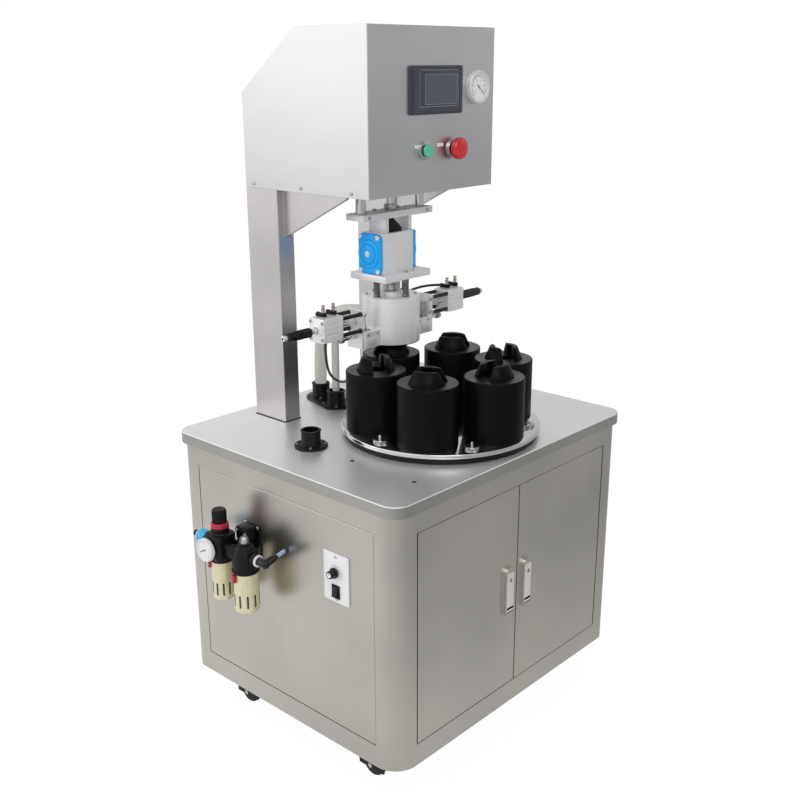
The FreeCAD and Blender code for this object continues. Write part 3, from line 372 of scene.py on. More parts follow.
def brushed_metal(tree, colour, shade, rough, grain, lay, cloud=220, bump=0.04, metal=1.0):
    """Sheet or plate with fine lines one way and wide soft clouds, as brushing leaves it.

    The real lines are a tenth of a millimetre; they are drawn at the grain size to show at all.
    """
    place = add(tree, "ShaderNodeTexCoord").outputs["Object"]
    drawn = add(tree, "ShaderNodeMapping", None, {"Vector": place, "Scale": lay}).outputs[0]
    lines = add(tree, "ShaderNodeTexNoise", None,
                {"Vector": drawn, "Scale": per_metre(grain), "Detail": 3.0, "Roughness": 0.6})
    clouds = add(tree, "ShaderNodeTexNoise", None,
                 {"Vector": place, "Scale": per_metre(cloud), "Detail": 2.0, "Roughness": 0.5})
    both = add(tree, "ShaderNodeMath", {"operation": "MULTIPLY_ADD"},
               {0: lines.outputs["Fac"], 1: 0.25, 2: clouds.outputs["Fac"]}).outputs[0]
    tone = add(tree, "ShaderNodeMapRange", None,
               {"Value": both, "From Min": 0.4, "From Max": 0.85}).outputs["Result"]
    tint = add(tree, "ShaderNodeMix", {"data_type": "RGBA"},
               {0: tone, 6: linear(shade), 7: linear(colour)}).outputs[2]
    gloss = add(tree, "ShaderNodeMapRange", None,
                {"Value": both, "From Min": 0.4, "From Max": 0.85,
                 "To Min": rough[0], "To Max": rough[1]}).outputs["Result"]
    wave = add(tree, "ShaderNodeBump", None,
               {"Height": clouds.outputs["Fac"], "Strength": bump, "Distance": 0.02}).outputs[0]
    fine = add(tree, "ShaderNodeBump", None,
               {"Height": lines.outputs["Fac"], "Strength": bump, "Distance": 0.0002,
                "Normal": wave}).outputs[0]
    surface(tree, add(tree, "ShaderNodeBsdfPrincipled", None,
                      {"Base Color": tint, "Metallic": metal, "Roughness": gloss,
                       "Normal": fine}))


def smooth_metal(tree, colour, shade, rough, spot=14, bump=0.02, metal=1.0):
    """Turned, drawn or cast metal with slight blotches of gloss."""
    place = add(tree, "ShaderNodeTexCoord").outputs["Object"]
    blotch = add(tree, "ShaderNodeTexNoise", None,
                 {"Vector": place, "Scale": per_metre(spot), "Detail": 3.0}).outputs["Fac"]
    tint = add(tree, "ShaderNodeMix", {"data_type": "RGBA"},
               {0: blotch, 6: linear(shade), 7: linear(colour)}).outputs[2]
    gloss = add(tree, "ShaderNodeMapRange", None,
                {"Value": blotch, "From Min": 0.3, "From Max": 0.7,
                 "To Min": rough[0], "To Max": rough[1]}).outputs["Result"]
    skin = add(tree, "ShaderNodeBump", None,
               {"Height": blotch, "Strength": bump, "Distance": 0.002}).outputs[0]
    surface(tree, add(tree, "ShaderNodeBsdfPrincipled", None,
                      {"Base Color": tint, "Metallic": metal, "Roughness": gloss,
                       "Normal": skin}))


def plastic(tree, colour, shade, rough, grain=2.5, bump=0.1, coat=0.0, sheen=0.5):
    """Moulded, machined or painted skin: slight grain, uneven gloss and paler worn patches."""
    place = add(tree, "ShaderNodeTexCoord").outputs["Object"]
    fine = add(tree, "ShaderNodeTexNoise", None,
               {"Vector": place, "Scale": per_metre(grain), "Detail": 2.0}).outputs["Fac"]
    wide = add(tree, "ShaderNodeTexNoise", None,
               {"Vector": place, "Scale": per_metre(grain * 22), "Detail": 3.0}).outputs["Fac"]
    tint = add(tree, "ShaderNodeMix", {"data_type": "RGBA"},
               {0: wide, 6: linear(shade), 7: linear(colour)}).outputs[2]
    gloss = add(tree, "ShaderNodeMapRange", None,
                {"Value": wide, "From Min": 0.3, "From Max": 0.7,
                 "To Min": rough[0], "To Max": rough[1]}).outputs["Result"]
    skin = add(tree, "ShaderNodeBump", None,
               {"Height": fine, "Strength": bump, "Distance": 0.0008}).outputs[0]
    surface(tree, add(tree, "ShaderNodeBsdfPrincipled", None,
                      {"Base Color": tint, "Roughness": gloss, "Normal": skin,
                       "Specular IOR Level": sheen, "Coat Weight": coat,
                       "Coat Roughness": 0.08}))


def clear_plastic(tree, colour, rough, through, grain=6, bump=0.08):
    """Translucent vinyl or polycarbonate: light passes, with a milky body and a glossy skin."""
    place = add(tree, "ShaderNodeTexCoord").outputs["Object"]
    haze = add(tree, "ShaderNodeTexNoise", None,
               {"Vector": place, "Scale": per_metre(grain), "Detail": 2.0}).outputs["Fac"]
    gloss = add(tree, "ShaderNodeMapRange", None,
                {"Value": haze, "To Min": rough, "To Max": rough + 0.15}).outputs["Result"]
    skin = add(tree, "ShaderNodeBump", None,
               {"Height": haze, "Strength": bump, "Distance": 0.001}).outputs[0]
    surface(tree, add(tree, "ShaderNodeBsdfPrincipled", None,
                      {"Base Color": linear(colour), "Roughness": gloss, "Normal": skin,
                       "Transmission Weight": through, "IOR": 1.5}))


# Lay of the grain: small along the lines, large across them.
ALONG_X = (0.03, 1.0, 0.25)
AROUND = (0.03, 0.03, 1.0)
ALONG_Z = (1.0, 1.0, 0.03)

FINISHES = {
    # Stainless worktop, ground crosswise: bright, with blurred reflections of what stands on it.
    "ground_stainless_worktop": (brushed_metal, dict(
        colour="#f0f0f0", shade="#e6e6e6", rough=(0.34, 0.44), grain=3, lay=ALONG_X, cloud=260,
        metal=0.72)),
    # Worktop rim, bent and brushed lengthwise: its colour is painted darker than the top, as shade
    # on the upright faces.
    "ground_stainless_rim_painted_shade": (brushed_metal, dict(
        colour="#bdbbb6", shade="#adaba6", rough=(0.26, 0.36), grain=3, lay=AROUND, cloud=260,
        bump=0.03)),
    # Stainless cabinet sheet, brushed upright: warm grey, soft clouds, wide reflections.
    "brushed_stainless_cabinet": (brushed_metal, dict(
        colour="#d0ccc4", shade="#bfbcb6", rough=(0.27, 0.37), grain=2.5, lay=ALONG_Z, cloud=240,
        bump=0.03)),
    # Stainless head sheet, brushed lengthwise: cool grey, lighter where it catches the window.
    "brushed_stainless_head": (brushed_metal, dict(
        colour="#d8d8da", shade="#cacacd", rough=(0.30, 0.40), grain=2.5, lay=AROUND, cloud=220,
        bump=0.03)),
    # Stainless tube columns, brushed along their length.
    "brushed_stainless_column": (brushed_metal, dict(
        colour="#d2cfce", shade="#c2c0bf", rough=(0.30, 0.40), grain=2.5, lay=ALONG_Z, cloud=200,
        bump=0.03)),
    # Stainless disc turned and polished: sharp dark and light bands on the rim.
    "polished_stainless": (smooth_metal, dict(
        colour="#dedede", shade="#cfcfd0", rough=(0.08, 0.14), spot=60)),
    # Aluminium plate, clear anodised: even pale satin.
    "anodised_aluminium": (brushed_metal, dict(
        colour="#f0f0f2", shade="#e4e4e6", rough=(0.34, 0.44), grain=2, lay=ALONG_X, cloud=90,
        bump=0.03, metal=0.38)),
    # Aluminium casting, bead blasted: greyer and duller than the plates.
    "cast_aluminium": (smooth_metal, dict(
        colour="#e2e2e3", shade="#d6d6d7", rough=(0.42, 0.52), spot=10, bump=0.02, metal=0.32)),
    # Aluminium bell, turned and clear anodised: silky with soft upright highlights.
    "turned_aluminium": (smooth_metal, dict(
        colour="#f4f4f5", shade="#eaeaec", rough=(0.28, 0.36), spot=40, bump=0.0, metal=0.35)),
    # Steel rods, hard chromed: near mirror.
    "chromed_steel": (smooth_metal, dict(
        colour="#e2e2e4", shade="#d6d6d8", rough=(0.06, 0.12), spot=30)),
    # Steel spacers and nuts, turned and plated: grey shine.
    "zinc_plated_steel": (smooth_metal, dict(
        colour="#cfcfd1", shade="#aeaeb2", rough=(0.18, 0.34), spot=8, bump=0.06)),
    # Threaded standoffs, plain steel rod: dark thread flanks with bright crests.
    "threaded_steel": (smooth_metal, dict(
        colour="#8f8f92", shade="#6f6f73", rough=(0.18, 0.30), spot=5, bump=0.06)),
    # Fittings, nickel-plated brass: warm silver.
    "nickel_plated_brass": (smooth_metal, dict(
        colour="#d9d2bf", shade="#b9b09a", rough=(0.16, 0.30), spot=6)),
    # Latch levers, cast zinc with satin chrome.
    "satin_chromed_zinc": (smooth_metal, dict(
        colour="#ecece9", shade="#dededb", rough=(0.30, 0.40), spot=12, metal=0.5)),
    # Bowl guards, steel with a yellow passivated zinc coat: pale olive with warm patches.
    "yellow_zinc_guard": (smooth_metal, dict(
        colour="guards", shade="#d9d3ac", rough=(0.26, 0.36), spot=9, bump=0.08, metal=0.55)),
    # Gearbox, cast iron painted grey.
    "painted_cast_iron": (plastic, dict(
        colour="#8b8e92", shade="#76797d", rough=(0.42, 0.58), grain=3, bump=0.35)),
    # Actuator end caps, enamelled bright blue: wet gloss.
    "blue_enamel": (plastic, dict(
        colour="end_caps", shade="#02a8f6", rough=(0.28, 0.38), grain=2, bump=0.06, sheen=0.4)),
    # Jar holders, acetal turned from bar: black with a soft grey sheen on top faces.
    "turned_black_acetal": (plastic, dict(
        colour="holders", shade="#070708", rough=(0.34, 0.44), grain=1.6, bump=0.06, sheen=0.1)),
    # Top faces of the holders, faced in the lathe: the same black, with a broad grey sheen.
    "faced_black_acetal": (plastic, dict(
        colour="holders", shade="#070708", rough=(0.30, 0.40), grain=1.6, bump=0.06, sheen=0.6)),
    # Valve bodies, glass-filled nylon, moulded: dull black.
    "moulded_black_nylon": (plastic, dict(
        colour="#101012", shade="#08080a", rough=(0.36, 0.52), grain=1.5, bump=0.18, sheen=0.25)),
    # Knobs and sleeves, glossy phenolic.
    "glossy_black_phenolic": (plastic, dict(
        colour="#121214", shade="#0a0a0c", rough=(0.16, 0.26), grain=3, bump=0.04, sheen=0.4)),
    # Tyres, seals and the table's base ring, rubber.
    "black_rubber": (plastic, dict(
        colour="#161617", shade="#0d0d0e", rough=(0.50, 0.70), grain=2, bump=0.25, sheen=0.3)),
    # Cable and air hose jackets, soft vinyl.
    "black_vinyl": (plastic, dict(
        colour="#202022", shade="#151516", rough=(0.32, 0.44), grain=2, bump=0.05)),
    # Panel case, ABS with a fine spark texture: near-black slate.
    "textured_slate_abs": (plastic, dict(
        colour="#41424d", shade="#383944", rough=(0.40, 0.52), grain=1.2, bump=0.10)),
    # Screen, hardened glass over a switched-off display: blue-grey and glossy.
    "screen_glass": (plastic, dict(
        colour="#555a66", shade="#4e535e", rough=(0.30, 0.36), grain=30, bump=0.0, sheen=0.3)),
    # Mask round the display, dark slate film.
    "panel_mask": (plastic, dict(
        colour="#454853", shade="#3f424c", rough=(0.32, 0.40), grain=4, bump=0.0, sheen=0.3)),
    # Printed line round the display.
    "pale_print": (plastic, dict(
        colour="#9aa0ac", shade="#8b919d", rough=(0.45, 0.55), grain=3, bump=0.02)),
    # Dials and plates, white enamelled or anodised sheet.
    "white_enamel": (plastic, dict(
        colour="#eeeeef", shade="#e2e2e4", rough=(0.34, 0.46), grain=2, bump=0.03)),
    # Legend strips beside the buttons, matt white film, left bare.
    "white_film": (plastic, dict(
        colour="#e6e6e4", shade="#d9d9d7", rough=(0.50, 0.60), grain=2, bump=0.03)),
    # Grey print of scale lines.
    "grey_ink": (plastic, dict(
        colour="#8e8e92", shade="#7c7c80", rough=(0.5, 0.6), grain=2, bump=0.0)),
    # Black print of dial ticks and numbers, also used as painted shade in the latches' keyholes and
    # the stroke knobs' sockets.
    "black_ink_and_painted_shade": (plastic, dict(
        colour="#222226", shade="#19191c", rough=(0.5, 0.6), grain=2, bump=0.0)),
    # Push button lens, green polycarbonate.
    "green_polycarbonate": (plastic, dict(
        colour="start_lens", shade="#3fb794", rough=(0.16, 0.24), grain=3, bump=0.02, coat=0.5)),
    # Mushroom head, red gloss plastic.
    "red_gloss_plastic": (plastic, dict(
        colour="stop_head", shade="#c21822", rough=(0.20, 0.30), grain=3, bump=0.03, coat=0.4)),
    # Lock ring and bowl buttons, crimson acetal.
    "crimson_acetal": (plastic, dict(
        colour="#bd1c3c", shade="#a5152f", rough=(0.28, 0.38), grain=2, bump=0.05)),
    # Hand valve sleeve, cyan anodised.
    "cyan_anodised": (plastic, dict(
        colour="valve_sleeve", shade="#14a8d6", rough=(0.22, 0.34), grain=2, bump=0.05, coat=0.3)),
    # Button neck, dark olive moulding.
    "olive_moulding": (plastic, dict(
        colour="#4a4632", shade="#3a3726", rough=(0.40, 0.50), grain=2, bump=0.08)),
    # Bowls behind the guard slots, dark green polycarbonate.
    "green_bowl": (plastic, dict(
        colour="#2c3a2a", shade="#1d281c", rough=(0.12, 0.20), grain=4, bump=0.02, coat=0.5)),
    # Seal strips of the doors, grey rubber.
    "grey_seal_rubber": (plastic, dict(
        colour="#8c8b88", shade="#7c7b78", rough=(0.5, 0.6), grain=2, bump=0.1)),
    # Sealant at the foot of the columns.
    "dark_sealant": (plastic, dict(
        colour="#2a2a2b", shade="#1c1c1d", rough=(0.5, 0.7), grain=3, bump=0.3)),
    # Vacuum hoses, clear vinyl gone milky.
    "clear_vinyl": (clear_plastic, dict(colour="#f6f5ef", rough=0.12, through=0.5, grain=60,
                                        bump=0.0)),
    # Sight dome, clear acrylic.
    "clear_acrylic": (clear_plastic, dict(colour="#f6f8f8", rough=0.04, through=0.9, bump=0.01)),
    # Air tube, blue-white polyurethane.
    "pale_polyurethane": (clear_plastic, dict(colour="#b9cdea", rough=0.2, through=0.35)),
}

# The finishes that most pieces share.
ZINC, NYLON, PHENOLIC = "zinc_plated_steel", "moulded_black_nylon", "glossy_black_phenolic"


def material(finish):
    """The finish's material, made on first use."""
    made = bpy.data.materials.get(finish)
    if made is None:
        made = bpy.data.materials.new(finish)
        made.use_nodes = True
        made.node_tree.nodes.clear()
        build, values = FINISHES[finish]
        build(made.node_tree, **values)
    return made


# Routes of the hoses and cables, as in the part's source.

HOSES = {
    # name: (points from the worktop or clamp to the far end, radius)
    "hose_large": ([(-7, 239, 634), (-7, 239, 705.18), (-5.33, 227.57, 758.97),
                    (-3.67, 188.67, 797.87), (-2, 134.88, 809.3), (-2, 103.5, 809.3)], 13.0),
    "hose_small": ([(-26, 172, 634), (-26, 172, 734.93), (-30, 166.43, 774.54),
                    (-34, 148.8, 798.81), (-38, 122.84, 809.3), (-38, 103.5, 809.3)], 8.0),
    "sensor_cable": ([(-171, 48, 795.3), (-171, 48, 757.3), (-132, 80, 708), (-78, 106, 676),
                      (-24, 138, 660), (8, 168, 646), (18, 186, 622), (18, 186, 594)], 2.5),
}
AIR_LINE = ([(165, 40, 848), (148, 50, 850), (120, 72, 846), (88, 96, 830), (60, 92, 812),
             (44, 74, 809)], 2.6)


def place(point):
    """Point in millimetres as the frame's metres."""
    return Vector((point[0] * MM + MIDDLE, point[1] * MM, point[2] * MM))


def strand(name, points, radius):
    """Tube mesh along a smooth route, the points of its middle line and their length."""
    curve = bpy.data.curves.new(name + "_route", "CURVE")
    curve.dimensions = "3D"
    curve.resolution_u = 12
    spline = curve.splines.new("NURBS")
    spline.points.add(len(points) - 1)
    for knot, point in zip(spline.points, points):
        knot.co = (*place(point), 1)
    spline.order_u = 3
    spline.use_endpoint_u = True
    carrier = bpy.data.objects.new(name + "_route", curve)
    line = bpy.data.meshes.new_from_object(carrier)
    path = [vert.co.copy() for vert in line.vertices]
    curve.bevel_depth = radius * MM
    curve.bevel_resolution = 7
    curve.use_fill_caps = True
    tube = bpy.data.meshes.new_from_object(carrier)
    tube.name = name + "_tube"
    tube.materials.clear()
    bpy.data.objects.remove(carrier)
    bpy.data.meshes.remove(line)
    length = sum((b - a).length for a, b in zip(path, path[1:]))
    return tube, path, length


def sizes():
    """The sizes a user may change."""
    return bpy.context.scene.capping_sizes


class CAPPING_OT_hoses(bpy.types.Operator):
    """Clear vacuum hoses, sensor cable and air line"""
    bl_idname = "capping.hoses"
    bl_label = "Hoses and cables"

    def execute(self, context):
        for node, (points, radius) in HOSES.items():
            finish = "black_vinyl" if node == "sensor_cable" else "clear_vinyl"
            tube, path, length = strand(node, points, radius)
            piece = settle(tube, node + "_tube", [finish], None, (node,))
            if node == "sensor_cable":
                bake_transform(piece)
            else:
                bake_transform(piece)
        points, radius = AIR_LINE
        tube, path, length = strand("air_line", points, radius)
        piece = settle(tube, "air_line", ["black_vinyl"], "press_head")
        return {"FINISHED"}


# Cabinet sizes as in the part's source: sheet of the posts, floor pan, rail depth, and how far a
# post reaches in from the corner.
POST_WALL, PAN_SHEET, RAIL_DEPTH, POST_REACH = 5.0, 4.0, 24.0, 51.0
PANEL_EDGE = 0.7
POST_STEPS = 12
SEAM_MIDDLE = 1.5
SEAL_DEEP = 2.0
LEVER_HALF, LEVER_CORNER, PIVOT_RADIUS = 10.7, 2.0, 2.5
LOCK_DROP = 14.0


class CAPPING_OT_cabinet(bpy.types.Operator):
    """Stainless cabinet with its panels, doors, latches and worktop"""
    bl_idname = "capping.cabinet"
    bl_label = "Cabinet and worktop"

    def execute(self, context):
        edge = sizes().sheet_edge / MM
        dressed("cabinet_frame", "brushed_stainless_cabinet", edge, change=self.round_posts)
        for node in ("panel_left", "panel_right", "panel_rear"):
            dressed(node, "brushed_stainless_cabinet", edge + PANEL_EDGE)
        # The worktop's upright faces take the darker rim finish: painted shade.
        dressed("worktop", "ground_stainless_worktop", edge, rim="ground_stainless_rim_painted_shade")
        for side in ("left", "right"):
            dressed("door_" + side, "brushed_stainless_cabinet", edge)
            self.latch(side)
        self.seals()
        dressed("index_drive", "painted_cast_iron", 1.0)
        return {"FINISHED"}

    def round_posts(self, shape):
        """Gives the frame's four posts their full round, and closes the ends of the front rails."""
        low, high = span("cabinet_frame")
        seam = span("panel_left")
        near, far = sizes().near_post_round / MM, sizes().post_round / MM
        edge = Vector((high.x - POST_REACH, high.y - POST_REACH))
        whole = Matrix.Translation((MIDDLE, 0, 0)) @ Matrix.Scale(MM, 4)
        bmesh.ops.transform(shape, matrix=whole.inverted(), verts=shape.verts)
        for spot, facing in (((edge.x, 0, 0), RIGHT), ((-edge.x, 0, 0), RIGHT),
                             ((0, edge.y, 0), BACK), ((0, -edge.y, 0), BACK)):
            parts = shape.verts[:] + shape.edges[:] + shape.faces[:]
            bmesh.ops.bisect_plane(shape, geom=parts, plane_co=spot, plane_no=facing)
        old = []
        for face in shape.faces:
            middle = face.calc_center_median()
            if abs(middle.x) > edge.x and abs(middle.y) > edge.y:
                old.append(face)
        bmesh.ops.delete(shape, geom=old, context="FACES")
        for sx, sy in ((-1, -1), (1, -1), (1, 1), (-1, 1)):
            rounds = []
            corner = near if sx < 0 and sy < 0 else far
            for radius, out in ((corner, 0), (corner - POST_WALL, POST_WALL)):
                line = [(high.x - out, edge.y)]
                for step in range(POST_STEPS + 1):
                    angle = math.radians(90 * step / POST_STEPS)
                    line.append((high.x - corner + radius * math.cos(angle),
                                 high.y - corner + radius * math.sin(angle)))
                line.append((edge.x, high.y - out))
                rounds.append([(sx * x, sy * y) for x, y in line])
            outer, inner = rounds
            inside = [(sx * edge.x, sy * edge.y)]
            pan = low.z + PAN_SHEET
            self.strip(shape, [(*p, low.z) for p in outer], [(*p, high.z) for p in outer])
            self.strip(shape, [(*p, pan) for p in inner], [(*p, high.z) for p in inner])
            self.strip(shape, [(*p, high.z) for p in outer], [(*p, high.z) for p in inner])
            shape.faces.new([shape.verts.new((*p, low.z)) for p in outer + inside])
            shape.faces.new([shape.verts.new((*p, pan)) for p in inner + inside])
            if sy < 0:
                front = -high.y + POST_WALL
                back = front + RAIL_DEPTH
                for z0, z1 in ((low.z, seam[0].z - 1), (seam[1].z + 1, high.z)):
                    self.strip(shape, [(sx * edge.x, front, z0), (sx * edge.x, back, z0)],
                               [(sx * edge.x, front, z1), (sx * edge.x, back, z1)])
        bmesh.ops.remove_doubles(shape, verts=shape.verts, dist=0.02)
        bmesh.ops.recalc_face_normals(shape, faces=shape.faces)
        bmesh.ops.transform(shape, matrix=whole, verts=shape.verts)

    @staticmethod
    def strip(shape, line_a, line_b):
        """Faces between two lines with equal counts of points."""
        a = [shape.verts.new(point) for point in line_a]
        b = [shape.verts.new(point) for point in line_b]
        for step in range(len(a) - 1):
            shape.faces.new((a[step], a[step + 1], b[step + 1], b[step]))

    def seals(self):
        """Grey seal strips in the seams; beside the hinges they keep clear of the doors' swing."""
        door, seam = span("door_right"), span("panel_left")
        front = door[0].y + 8.5
        x, low, high = door[1].x + SEAM_MIDDLE, seam[0].z + 0.2, seam[1].z - 0.2
        outer = [(sx * (x + 1.4), front, z) for sx, z in
                 ((-1, low - 1.1), (1, low - 1.1), (1, high + 1.1), (-1, high + 1.1))]
        inner = [(sx * (x + 0.9), front, z) for sx, z in
                 ((-1, low + 0.2), (1, low + 0.2), (1, high - 0.2), (-1, high - 0.2))]
        round_seal = Form("door_seal")
        round_seal.add(window(outer, inner, (0, SEAL_DEEP, 0), 0.2), "grey_seal_rubber")
        round_seal.finish("machine")
        lap = Form("door_lap")
        lap.add(block((-1.6, front, low + 2), (1.1, front + SEAL_DEEP, high - 2), 0.2),
                "grey_seal_rubber")
        lap.finish("door_left")

    def latch(self, side):
        """Flush lever with a lock near its top, thinner below its pivot, where it swings in."""
        lever = "latch_" + side
        low, high = span(lever)
        x = (low.x + high.x) / 2
        plate = Form("latch_plate_" + side)
        pivot, front = low.z + PIVOT_RADIUS, low.y - 0.6
        for bottom, top, deep in ((pivot, high.z + 2.5, high.y - low.y + 0.4),
                                  (low.z - 1.5, pivot + 6, 3.0)):
            outline = rounded(x, (bottom + top) / 2, LEVER_HALF, (top - bottom) / 2,
                              LEVER_CORNER)
            plate.add(pushed([(px, front, pz) for px, pz in outline], (0, deep, 0), 0.6),
                      "satin_chromed_zinc")
        plate.add(bar(2.3, 21, (x - 10.5, low.y + PIVOT_RADIUS, pivot), RIGHT, 0.4, 28),
                  "satin_chromed_zinc")
        top = high.z - LOCK_DROP
        plate.add(turned([(0, 0), (4.2, 0), (4.2, 0.8), (3.6, 1.2), (0, 1.2)],
                         (x, low.y - 0.5, top), FRONT, 28), ZINC)
        # Black bar on the lock: painted shade of the keyhole, which is not cut.
        plate.add(block((x - 0.6, low.y - 2.0, top - 2.2), (x + 0.6, low.y - 1.6, top + 2.2), 0.1),
                  "black_ink_and_painted_shade")
        plate.finish(lever, lever)


# Head: depth of a column, width of the sealant at its foot, and where the cover's screws sit.
COLUMN_DEPTH, SEALANT = 90.0, 1.6
COVER_SCREWS = (234, 101, -31)


class CAPPING_OT_head(bpy.types.Operator):
    """Head cover on two square columns, with seals and cover screws"""
    bl_idname = "capping.head"
    bl_label = "Columns and head"

    def execute(self, context):
        edge = sizes().sheet_edge / MM
        dressed("head_cover", "brushed_stainless_head", edge)
        dressed("head_floor", "brushed_stainless_head", 0.5)
        dressed("press_cylinder", "anodised_aluminium", 0.5)
        for side in ("left", "right"):
            node = "column_" + side
            dressed(node, "brushed_stainless_column", edge)
            low, high = span(node)
            front = high.y - COLUMN_DEPTH
            outer, inner = [[(x, y, low.z) for x, y in
                             ((low.x - out, front - out), (high.x + out, front - out),
                              (high.x + out, high.y + out), (low.x - out, high.y + out))]
                            for out in (SEALANT, -0.3)]
            seal = Form("column_seal_" + side)
            seal.add(window(outer, inner, (0, 0, SEALANT), 0.6), "dark_sealant")
            seal.finish("machine")
        low, high = span("head_cover")
        screws = Form("head_screws")
        for x, along in ((low.x, LEFT), (high.x, RIGHT)):
            for y in COVER_SCREWS:
                screws.add(pan_screw(sizes().screw_radius / MM, 2.2, (x, y, low.z + 8), along),
                           ZINC)
        screws.finish("machine")
        return {"FINISHED"}


# Dial scales: where they start, how far they sweep, in degrees, and the numbers on the gauge.
SCALE_START, SCALE_SWEEP = 225, 270
NUMBERS = (0, 2, 4, 6, 8, 10)
NUMBER_CIRCLE, NUMBER_SIZE = 12.6, 5.4
HEAD_COLLAR = 4.0


class CAPPING_OT_controls(bpy.types.Operator):
    """Touch panel, vacuum gauge and push buttons on the head"""
    bl_idname = "capping.controls"
    bl_label = "Controls on the head"

    def execute(self, context):
        self.panel()
        self.gauge()
        self.buttons()
        return {"FINISHED"}

    def panel(self):
        """Case with a stepped rim, a sunken screen and a printed line round it."""
        low, high = span("operator_panel")
        x, z = (low.x + high.x) / 2, (low.z + high.z) / 2
        case = Form("panel_case")
        steps = ((0, 0, 5.2, 4.0), (1.8, 5.2, 1.6, 3.4), (4.2, 6.8, 1.2, 2.6))
        wall = high.y
        for inset, out, depth, corner in steps:
            outer = rounded(x, z, (high.x - low.x) / 2 - inset, (high.z - low.z) / 2 - inset,
                            corner)
            inner = rounded(x + 4, z + 3, 55, 33, 1.5)
            case.add(window([(px, wall - out, pz) for px, pz in outer],
                            [(px, wall - out, pz) for px, pz in inner], (0, -depth, 0), 0.4),
                     "textured_slate_abs")
        case.finish("machine", "operator_panel")
        glass = Form("panel_glass")
        glass.add(block((x - 51.5, wall - 6.4, z - 30.5), (x + 59.5, wall - 4, z + 36.5), 0.2),
                  "panel_mask")
        for left, right, low_z, high_z, finish in ((-50, 58, -29, 35, "pale_print"),
                                                   (-35, 54, -25, 27.3, "grey_ink")):
            outer = [(x + left, low_z), (x + right, low_z), (x + right, high_z), (x + left, high_z)]
            inner = [(x + left + 0.9, low_z + 0.9), (x + right - 0.9, low_z + 0.9),
                     (x + right - 0.9, high_z - 0.9), (x + left + 0.9, high_z - 0.9)]
            glass.add(window([(px, wall - 6.6, z + pz) for px, pz in outer],
                             [(px, wall - 6.6, z + pz) for px, pz in inner], (0, 0.3, 0), 0),
                      finish)
        glass.add(block((x - 34, wall - 6.5, z - 24), (x + 53, wall - 6.3, z + 26.3), 0),
                  "screen_glass")
        glass.finish("machine")

    def gauge(self):
        """Vacuum gauge with a rim, a scale of ticks and numbers and a pointer."""
        low, high = span("vacuum_gauge")
        x, z, wall = (low.x + high.x) / 2, (low.z + high.z) / 2, high.y
        case = Form("gauge_case")
        case.add(turned([(29.4, 0), (30, 0.6), (30, 9.6), (29, 11.4), (27.6, 12), (26.4, 11.4),
                         (26, 9.4), (25.6, 9.4), (25.6, 0)], (x, wall, z), FRONT, 96, True),
                 "cast_aluminium")
        case.finish("machine", "vacuum_gauge")
        dial = Form("gauge_dial")
        dial.add(turned([(0, 0), (25.9, 0), (25.9, 7.6), (0, 7.6)], (x, wall, z), FRONT, 96),
                 "white_enamel")
        dial.finish("machine")
        scale = Form("gauge_scale")
        face = wall - 7.6
        for step in range(sizes().dial_ticks):
            angle = math.radians(SCALE_START - SCALE_SWEEP * step / (sizes().dial_ticks - 1))
            inner, half = (17.0, 0.35) if step % 5 == 0 else (18.6, 0.18)
            scale.add(dial_tick(inner, 22.5, half, 0.25, angle, to_front(x, face, z)), "grey_ink")
        scale.add(self.numbers(x, face, z), "grey_ink")
        scale.finish("machine")
        pointer = Form("gauge_pointer")
        needle = pushed([(-0.8, -7, 0), (0.8, -7, 0), (0.2, 19, 0), (-0.2, 19, 0)], (0, 0, 0.4), 0)
        bmesh.ops.rotate(needle, matrix=Matrix.Rotation(math.radians(-128), 3, "Z"),
                         verts=needle.verts)
        bmesh.ops.transform(needle, matrix=to_front(x, face - 0.6, z), verts=needle.verts)
        pointer.add(needle, "grey_ink")
        pointer.add(turned([(0, 0), (2.6, 0), (2.6, 1.4), (1.8, 2.0), (0, 2.0)],
                           (x, face, z), FRONT, 32), ZINC)
        pointer.finish("machine")

    @staticmethod
    def numbers(x, face, z):
        """Numbers of the scale, as flat shapes."""
        whole = bmesh.new()
        for step, value in enumerate(NUMBERS):
            angle = math.radians(SCALE_START - SCALE_SWEEP * step / (len(NUMBERS) - 1))
            label = bpy.data.curves.new("number", "FONT")
            label.body = str(value)
            label.size = NUMBER_SIZE
            label.align_x, label.align_y = "CENTER", "CENTER"
            label.extrude = 0.12
            label.resolution_u = 2
            carrier = bpy.data.objects.new("number", label)
            flat = bpy.data.meshes.new_from_object(carrier)
            out = Vector((math.cos(angle), math.sin(angle), 0)) * NUMBER_CIRCLE
            flat.transform(to_front(x, face - 0.12, z) @ Matrix.Translation(out))
            whole.from_mesh(flat)
            bpy.data.objects.remove(carrier)
            bpy.data.meshes.remove(flat)
        return whole

